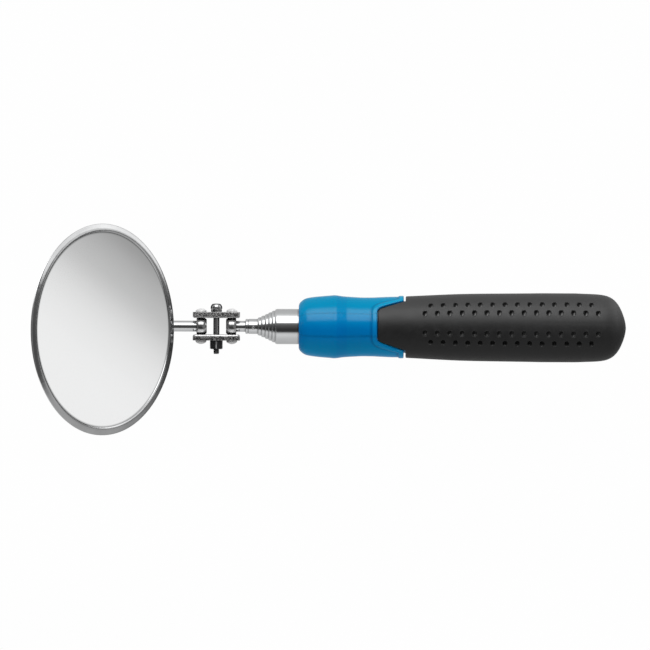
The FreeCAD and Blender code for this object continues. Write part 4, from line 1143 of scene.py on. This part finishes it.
def build_washer():
    """Split spring washer: its cut ends stand slightly proud of each other."""
    outer, inner = 2.12, 1.30
    height = WASHER_TOP - WASHER_LOW
    start, sweep = 40.0, 344.0
    section = fillet([(0.0, inner, 0.12), (height, inner, 0.12), (height, outer, 0.16),
                      (0.0, outer, 0.16)], segments=5)
    verts, faces = lathe(section, 120, closed=True, start=start, sweep=sweep)
    angle = (np.degrees(np.arctan2(verts[:, 2], -verts[:, 1])) - start) % 360.0
    lift = (angle / sweep - 0.5) * 0.10
    verts[:, 0] = verts[:, 0] * ((height - 0.12) / height) + 0.06 + lift * 0.9
    return upright(verts, (CLAMP_X, 0, WASHER_LOW)), faces


make("clamp_spring_washer", [build_washer()], SCREW, "clamp_lock_washer")


def build_thread(crest_r, z0, z1, pitch=0.45, depth=0.24, around=48):
    """Helical thread from z0 up to z1 about the clamp's axis, run out at both ends."""
    # across one turn: (height in pitches, share of the depth)
    section = [(-0.5, 1.0), (-0.44, 1.0), (-0.06, 0.0), (0.06, 0.0), (0.44, 1.0), (0.5, 1.0)]
    steps = int((z1 - z0) / pitch * around)
    verts, faces = [], []
    for k in range(steps + 1):
        a = 2 * math.pi * k / around
        middle = z0 + (z1 - z0) * k / steps
        fade = min(1.0, k / (around * 0.8), (steps - k) / (around * 0.8))
        for rise, cut in section:
            r = crest_r - depth * (cut * fade + (1 - fade))
            z = min(max(middle + rise * pitch, z0), z1)
            verts.append([r * math.cos(a), r * math.sin(a), z])
    size = len(section)
    for k in range(steps):
        for j in range(size - 1):
            i = k * size + j
            faces.append((i, i + 1, i + size + 1, i + size))
    return np.array(verts) + [CLAMP_X, 0, 0], faces


def build_screw_head(head_r, base, top):
    """Cheese head with a domed top and a slot cut through it along X."""
    half_slot, floor = 0.36, top - 0.85
    land, dome_r = base + 0.34, 1.15
    profile = [(base, 0.0), (base, head_r - 0.14), (base + 0.05, head_r - 0.04),
               (base + 0.14, head_r)]
    profile += [(land + (top - 0.05 - land) * math.sin(t), head_r - dome_r + dome_r * math.cos(t))
                for t in np.radians(np.linspace(0, 90, 19))]
    profile += [(top, head_r - 1.6), (top, 0.0)]
    verts, faces = lathe(profile, 144)
    mesh = bpy.data.meshes.new("screw_head")
    mesh.from_pydata(upright(verts).tolist(), [], faces)
    bm = bmesh.new()
    bm.from_mesh(mesh)
    bpy.data.meshes.remove(mesh)
    for point, direction in (((0, -half_slot, 0), (0, 1, 0)), ((0, half_slot, 0), (0, 1, 0)),
                             ((0, 0, floor), (0, 0, 1))):
        bmesh.ops.bisect_plane(bm, geom=bm.verts[:] + bm.edges[:] + bm.faces[:],
                               plane_co=point, plane_no=direction, dist=1e-5)
    middles = [(f, f.calc_center_median()) for f in bm.faces]
    cut = [f for f, middle in middles if middle.z > floor and abs(middle.y) < half_slot]
    bmesh.ops.delete(bm, geom=cut, context="FACES")
    # the cut's rim is dropped to the slot's floor to make its two walls, then the floor is closed
    rim = [e for e in bm.edges if e.is_boundary]
    for item in bmesh.ops.extrude_edge_only(bm, edges=rim)["geom"]:
        if isinstance(item, bmesh.types.BMVert):
            item.co.z = floor
            item.co.y = half_slot if item.co.y > 0 else -half_slot
    bmesh.ops.remove_doubles(bm, verts=bm.verts, dist=1e-4)
    bottom = [e for e in bm.edges if e.is_boundary]
    if bottom:
        bmesh.ops.contextual_create(bm, geom=bottom)
    bmesh.ops.recalc_face_normals(bm, faces=bm.faces)
    bm.verts.index_update()
    verts = np.array([v.co[:] for v in bm.verts])
    faces = [tuple(v.index for v in f.verts) for f in bm.faces]
    bm.free()
    return verts + [CLAMP_X, 0, 0], faces


def build_screw():
    low, high = box("clamp_screw")
    shank_r = 1.2
    root_r, tip = shank_r - 0.24, low[2]
    head = build_screw_head((high[0] - low[0]) / 2 + 0.10, WASHER_TOP, high[2])
    verts, faces = lathe(fillet([
        (tip, 0.0), (tip, shank_r - 0.30, 0.05), (tip + 0.22, root_r, 0.05),
        (-3.4, root_r, 0.05), (-3.1, shank_r, 0.1), (WASHER_TOP, shank_r), (WASHER_TOP, 0.0)],
        closed=False, segments=4), 64)
    return [head, (upright(verts, (CLAMP_X, 0, 0)), faces),
            build_thread(shank_r, tip + 0.18, -3.2)]


make("clamp_screw_slotted", build_screw(), SCREW, "clamp_screw", sharp=32)


def build_nut():
    """Hexagon with 30 degree chamfers and a low raised face at its lower end."""
    low, high = box("clamp_nut")
    top, bottom = high[2], low[2]
    shelf = bottom + 0.2
    half_flats, bore, around = 2.5, 1.22, 240
    angles = np.arange(around) * 2 * math.pi / around
    # a high power of the cosines keeps the corners just short of sharp
    hexagon = half_flats * sum(np.maximum(np.cos(angles - math.radians(60 * k)), 0) ** 150
                               for k in range(6)) ** (-1 / 150.0)
    face_r = half_flats * 1.02
    chamfer = np.tan(math.radians(30)) * (hexagon - face_r)
    shaved = hexagon - (hexagon - face_r) * 0.06
    rings = [    # (radius, z), down the outside from the bore's top
        (bore, top - 0.35), (bore + 0.3, top - 0.04), (bore + 0.36, top), (face_r - 0.12, top),
        (face_r, top - 0.01), (shaved, top - chamfer * 0.94), (hexagon, top - chamfer - 0.03),
        (hexagon, top - chamfer - 0.12), (hexagon, shelf + chamfer + 0.12),
        (hexagon, shelf + chamfer + 0.03), (shaved, shelf + chamfer * 0.94),
        (face_r, shelf + 0.01), (2.34, shelf), (2.25, shelf - 0.02), (2.23, shelf - 0.06),
        (2.19, bottom + 0.05), (2.12, bottom), (1.62, bottom), (1.52, bottom + 0.06),
        (1.40, bottom + 0.2), (bore, bottom + 0.4)]
    verts = np.concatenate([
        np.stack([r * np.cos(angles), r * np.sin(angles), np.broadcast_to(z, around)], 1)
        for r, z in rings])
    # corners face the front and back
    verts = verts @ np.array(Matrix.Rotation(math.radians(60), 3, "Z")).T
    return verts, joined_rings(len(rings), around, closed=True)


verts, faces = build_nut()
nut = make("clamp_lock_nut", [(verts + [CLAMP_X, 0, 0], faces)], NUT, "clamp_nut",
           sharp=28)
# the nut's corners, painted pale as a highlight and as wear
paint(nut, "corner_wear_and_highlight", smoothstep(2.70, 2.80, np.hypot(verts[:, 0], verts[:, 1])) * 0.9)

# ------------------------------------------------------------------ mirror head
ANGLE = math.radians(48.3)          # between the tubes and the mirror's plane
SIN, COS = math.sin(ANGLE), math.cos(ANGLE)
MIRROR_NORMAL = np.array([SIN, -COS, 0.0])
OUTWARD = np.array([-COS, -SIN, 0.0])     # along the stem, away from the handle
GLASS_R = 39.0
GLASS_BACK, GLASS_FACE = 0.70, 2.35       # heights above the pan's back
PAN_ORIGIN = sum(box("mirror_glass")) / 2 - MIRROR_NORMAL * ((GLASS_BACK + GLASS_FACE) / 2)
PAN_AXES = np.array([OUTWARD, [0.0, 0.0, -1.0], MIRROR_NORMAL])
STEM_STANDOFF = 4.0                       # stem's axis behind the pan's back
SADDLE_HALF = 9.0                         # half the saddle's length
SADDLE_Y = -1.5                           # saddle's offset across the pan


def on_pan(parts):
    """Places parts made with Z along the mirror's normal onto the pan."""
    return [(verts @ PAN_AXES + PAN_ORIGIN, faces) for verts, faces in parts]


def disc(profile, around, radius=None):
    """Turned surface about Z from (z, r) points."""
    verts, faces = lathe(profile, around, radius=radius)
    return verts[:, ::-1], faces


# outside of the pan's rolled bead: (z, r)
BEAD = [
    (0.0, 37.6), (0.0, 38.1), (0.12, 38.5), (0.40, 39.05), (0.76, 39.6), (1.14, 40.15),
    (1.48, 40.65), (1.76, 41.02), (1.98, 41.27), (2.12, 41.36), (2.25, 41.29), (2.39, 41.02),
    (2.52, 40.62), (2.63, 40.15), (2.71, 39.75), (2.76, 39.3), (2.785, 38.95), (2.775, 38.68),
    (2.72, 38.45), (2.60, 38.26), (2.46, 38.14), (2.375, 38.1), (2.36, 38.14), (2.36, 38.3)]
PAN_BACK = [(0.0, 0.0), (0.0, 10.0), (0.0, 24.0), (0.0, 36.0)]
PAN_INSIDE = [(2.36, 39.8), (2.28, 40.15), (1.95, 40.4), (1.3, 39.65), (0.7, 38.95), (0.4, 38.5),
              (0.4, 36.0), (0.4, 20.0), (0.4, 0.0)]


def build_pan():
    bead_z, bead_r = np.array(BEAD).T
    length = path_length(bead_z, bead_r)
    fine = np.linspace(0, length[-1], 90)
    bead = list(zip(pchip(length, bead_z, fine), pchip(length, bead_r, fine)))

    def wander(z, r, angles):
        # the bead wanders by a few hundredths
        wave = (0.028 * np.sin(3 * angles + 0.6) + 0.018 * np.sin(7 * angles + 2.0)
                + 0.010 * np.sin(13 * angles + 1.1))
        return r + wave * smoothstep(38.0, 40.0, r) - 0.02 * smoothstep(40.9, 41.4, r)

    return disc(PAN_BACK + bead + PAN_INSIDE, 320, radius=wander)


def build_glass():
    outline = fillet([(GLASS_BACK, 0.0), (GLASS_BACK, GLASS_R, 0.2), (GLASS_FACE, GLASS_R, 0.25),
                      (GLASS_FACE, 0.0)], closed=False, segments=6)
    flat = [(GLASS_FACE, r) for r in (38.4, 30.0, 20.0, 10.0)]
    return disc([*outline[:-1], *flat, outline[-1]], 256)


make("mirror_pan_spun", on_pan([build_pan()]), PAN, "mirror_pan")
GLASS = silvered_glass(centre=tuple((PAN_ORIGIN + MIRROR_NORMAL * GLASS_FACE) * MM),
                       up=(0, 0, 1), across=tuple(-OUTWARD))
make("mirror_glass_disc", on_pan([build_glass()]), GLASS, "mirror_glass")


def build_stem():
    """Round bar from the mirror ball, bent towards the front and run behind the pan."""
    bend_r, run, around = 9.0, 37.0, 96
    bend_x = PAN_ORIGIN[0] + bend_r * SIN + run * COS - STEM_STANDOFF * SIN
    start_x = box("mirror_stem")[1][0]
    path = [np.array([x, 0.0, 0.0]) for x in np.linspace(start_x, bend_x, 14)]
    for k in range(1, 25):
        a = ANGLE * k / 24
        path.append(np.array([bend_x - bend_r * math.sin(a), -bend_r * (1 - math.cos(a)), 0.0]))
    bend_end = path[-1]
    length = run + SADDLE_HALF
    distances = list(np.linspace(0, length - 0.6, 40)[1:])
    distances += [length - back for back in (0.45, 0.3, 0.18, 0.08, 0.02, 0)]
    path += [bend_end + OUTWARD * d for d in distances]
    radii = np.full(len(path), ROD_R)
    radii[-6:] -= (0.0, 0.01, 0.05, 0.12, 0.24, 0.45)
    radii[0] -= 0.1

    path = np.asarray(path, float)
    tangents = np.gradient(path, axis=0)
    tangents /= np.linalg.norm(tangents, axis=1)[:, None]
    up = np.array([0.0, 0.0, 1.0])
    angles = np.arange(around)[:, None] * 2 * math.pi / around
    verts = np.concatenate([
        point + r * (np.cos(angles) * np.cross(tangent, up) + np.sin(angles) * up)
        for point, tangent, r in zip(path, tangents, radii)])
    return verts, joined_rings(len(path), around) + end_caps(len(path), around)


make("mirror_stem_bar", [build_stem()], ROD, "mirror_stem")


def build_saddle():
    """Pressed saddle: two feet on the pan's back and a ridge over the stem, edges rolled."""
    foot_edge, foot, ridge_r = 8.5, 1.2, 3.3
    section = [(-foot_edge, 0.0, 0.08), (-foot_edge, -foot, 0.45), (-ridge_r - 0.05, -foot, 0.9),
               (-ridge_r, -STEM_STANDOFF + 0.4)]
    for k in range(33):
        a = math.pi - math.pi * k / 32
        section.append((ridge_r * math.cos(a), -STEM_STANDOFF - ridge_r * math.sin(a)))
    section += [(ridge_r, -STEM_STANDOFF + 0.4), (ridge_r + 0.05, -foot, 0.9),
                (foot_edge, -foot, 0.45), (foot_edge, 0.0, 0.08)]
    outline = fillet(section, segments=6)
    near = np.array([0, 0.02, 0.07, 0.15, 0.26, 0.4])
    stations = np.concatenate([-SADDLE_HALF + near,
                               np.linspace(-SADDLE_HALF + 1.0, SADDLE_HALF - 1.0, 26),
                               SADDLE_HALF - near[::-1]])
    verts = []
    for x in stations:
        from_end = SADDLE_HALF - abs(x)
        drop = float(round_over(from_end, 0.40))
        corner = float(round_over(from_end, 2.0))
        for y, z in outline:
            if abs(y) > 3.6:
                across = math.copysign(max(abs(y) - drop * 0.9, 0), y)
            else:
                across = y * (1 - drop * 0.06)
            # the feet's corners are rounded in plan
            if abs(y) > 6.4:
                cut = corner * min(1.0, (abs(y) - 6.4) / 2.1)
                across = math.copysign(abs(across) - cut, y)
            if z < -foot + 0.01:
                z += drop * 0.5
            verts.append([x, across + SADDLE_Y, min(z, 0.0)])
    count = len(outline)
    faces = joined_rings(len(stations), count) + end_caps(len(stations), count)
    return np.array(verts), faces


def build_rivets():
    """Four rivets through the saddle's feet, with a head on each side."""
    verts, faces = disc(fillet([
        (0.42, 0.0), (0.42, 1.35, 0.1), (0.40, 1.35), (0.40, 0.8), (-1.2, 0.8), (-1.2, 1.5, 0.12),
        (-1.42, 1.47, 0.2), (-1.78, 0.95, 0.6), (-1.9, 0.0)], closed=False, segments=5), 64)
    return [(verts + [x, y + SADDLE_Y, 0.0], faces) for y in (6.2, -6.2) for x in (5, -5)]


make("stem_saddle", on_pan([build_saddle()]), PRESSED, "stem_bracket", sharp=40)
make("saddle_rivets", on_pan(build_rivets()), RIVET, "bracket_rivets")


# ------------------------------------------------------------------ CAD nodes that stay
def finish_node(node, material):
    piece = NODES[node]
    piece.data.materials.clear()
    piece.data.materials.append(material)


for i in range(2, LAST_TUBE + 1):
    finish_node(f"tube_{i}_bush", BRASS)
finish_node("tube_end_plug", plug_plastic())
finish_node("glass_backing_pad", pad_foam())

# ------------------------------------------------------------------ surroundings
# brightness against the height angle in degrees: 0 is the front, 90 overhead, -90 below
MIDDLE_LIGHT = [
    (-180, 0.62), (-165, 0.54), (-140, 0.50), (-110, 0.55), (-85, 0.60), (-60, 0.72), (-48, 0.66),
    (-41, 0.40), (-36, 0.10), (-31, 0.04), (-18, 0.035), (0, 0.08), (14, 0.13), (20, 0.24),
    (24, 0.70), (28, 1.90), (45, 2.20), (62, 2.00), (72, 1.35), (77, 0.80), (84, 0.68), (95, 0.55),
    (142, 0.50), (165, 0.60), (179.9, 0.62)]
SIDE_LIGHT = [
    (-180, 0.05), (-165, 0.10), (-145, 0.34), (-110, 0.38), (-70, 0.46), (-45, 0.36), (-32, 0.09),
    (0, 0.08), (30, 0.11), (55, 0.16), (70, 0.45), (90, 0.66), (120, 0.72), (150, 0.55),
    (168, 0.12), (179.9, 0.05)]
LIGHT_STORED = 0.4      # brightness is stored at this share, and scaled up after
# round panels: (direction, cosine at the outer edge, cosine at the inner edge, brightness)
PANELS = [
    ((0.80, 0.31, 0.51), 0.885, 0.925, 1.12),       # above and behind on the right
    ((0.616, -0.788, 0.0), 0.90, 0.95, 0.19),       # level, in front on the right
    ((0.886, -0.204, 0.416), 0.955, 0.975, 0.91)]   # raised, far to the right


def build_world():
    """Studio seen by reflections and diffuse light. The camera sees plain white."""
    world = bpy.data.worlds.new("studio")
    bpy.context.scene.world = world
    s = Shade(world, "ShaderNodeOutputWorld", "Generated")
    x, y, z = s.xyz(s.co)
    position = s.scaled(s.height_angle(y, z), by=1 / (2 * math.pi), plus=0.5)

    def light_ramp(table):
        return s.ramp(position, [(a / 360.0 + 0.5, (v * LIGHT_STORED,) * 3) for a, v in table])

    middle, sides = light_ramp(MIDDLE_LIGHT), light_ramp(SIDE_LIGHT)
    left = s.smooth(x, over=(-0.58, -0.42), to=(1, 0))
    right = s.smooth(x, over=(0.40, 0.55))
    light = s.mix(s.math("MAXIMUM", left, right), middle, sides)
    for direction, outer, inner, brightness in PANELS:
        toward = s.vector("DOT_PRODUCT", s.co, tuple(Vector(direction).normalized()), "Value")
        light = s.mix(s.smooth(toward, over=(outer, inner)), light,
                      (brightness * LIGHT_STORED,) * 3)
    studio = s.node("ShaderNodeBackground", Color=light, Strength=1.0 / LIGHT_STORED)
    white = s.node("ShaderNodeBackground", Color=(1, 1, 1), Strength=1.0)
    seen = s.node("ShaderNodeLightPath").outputs["Is Camera Ray"]
    s.output(s.mix_shader(seen, studio.outputs[0], white.outputs[0]))


def paper_sweep():
    """Glowing paper, clear from behind so that the object can be seen from any side."""
    s = new_material("paper_sweep")
    colour = s.mix(s.noise(scale=3.0), (0.985, 0.985, 0.985), (1.0, 1.0, 1.0))
    glow = s.node("ShaderNodeEmission", Color=colour, Strength=1.0).outputs[0]
    clear = s.node("ShaderNodeBsdfTransparent").outputs[0]
    back = s.node("ShaderNodeNewGeometry").outputs["Backfacing"]
    return s.output(s.mix_shader(back, glow, clear))


def build_room():
    """Seamless sweep, in metres: a pale floor that curves up into the back wall."""
    floor_z, wall_y, bend_r, half_width_x = CAD_BOX[0][2] - 0.10, 1.2, 0.6, 4.0
    profile = [(-3.0, floor_z), (0.0, floor_z), (wall_y - bend_r, floor_z)]
    for k in range(1, 17):
        a = math.pi / 2 * k / 16
        profile.append((wall_y - bend_r + bend_r * math.sin(a),
                        floor_z + bend_r * (1 - math.cos(a))))
    profile.append((wall_y, 3.0))
    verts = [(x, y, z) for y, z in profile for x in (-half_width_x, half_width_x)]
    faces = [(2 * i, 2 * i + 1, 2 * i + 3, 2 * i + 2) for i in range(len(profile) - 1)]
    mesh = bpy.data.meshes.new("studio_sweep")
    mesh.from_pydata(verts, [], faces)
    mesh.shade_smooth()
    sweep = bpy.data.objects.new("studio_sweep", mesh)
    bpy.context.scene.collection.objects.link(sweep)
    mesh.materials.append(paper_sweep())
    sweep.visible_glossy = False
    sweep.visible_diffuse = False
    sweep.visible_shadow = False
    sweep.visible_transmission = False


def soft_light(name, location, target, size, power):
    """Rectangular light that doesn't show in reflections or to the camera."""
    data = bpy.data.lights.new(name, "AREA")
    data.shape = "RECTANGLE"
    data.size, data.size_y = size
    data.energy = power
    light = bpy.data.objects.new(name, data)
    light.location = location
    light.rotation_mode = "QUATERNION"
    light.rotation_quaternion = (Vector(target) - Vector(location)).to_track_quat("-Z", "Y")
    bpy.context.scene.collection.objects.link(light)
    light.visible_glossy = False
    light.visible_camera = False


def build_camera():
    """Long lens from the front, turned slightly about the view line."""
    field, distance = 0.25545, 6.0          # metres: width seen at the object, and how far off
    seat_x = box("grip")[1][0] - NOSE_END   # middle of the grip's straight seat, mm
    aim = Vector(((seat_x - 91.57) * MM, 0.0, 0.00068))
    data = bpy.data.cameras.new("camera")
    camera = bpy.data.objects.new("camera", data)
    bpy.context.scene.collection.objects.link(camera)
    bpy.context.scene.camera = camera
    data.sensor_width = 36.0
    data.lens = data.sensor_width * distance / field
    data.clip_start, data.clip_end = 0.1, 50.0
    camera.location = aim + Vector((0, -distance, 0))
    upright_view = Matrix.Rotation(math.radians(90), 3, "X")
    roll = Matrix.Rotation(math.radians(0.26), 3, "Z")
    camera.rotation_mode = "QUATERNION"
    camera.rotation_quaternion = (upright_view @ roll).to_quaternion()


build_world()
build_room()
soft_light("key_softbox", location=(-0.05, -0.55, 0.85), target=(-0.08, 0, 0), size=(0.9, 0.5),
           power=3.0)
build_camera()

view = bpy.context.scene.view_settings
view.view_transform = "Standard"
view.look = "None"
view.exposure = 0.0
view.gamma = 1.0

bpy.context.view_layer.update()
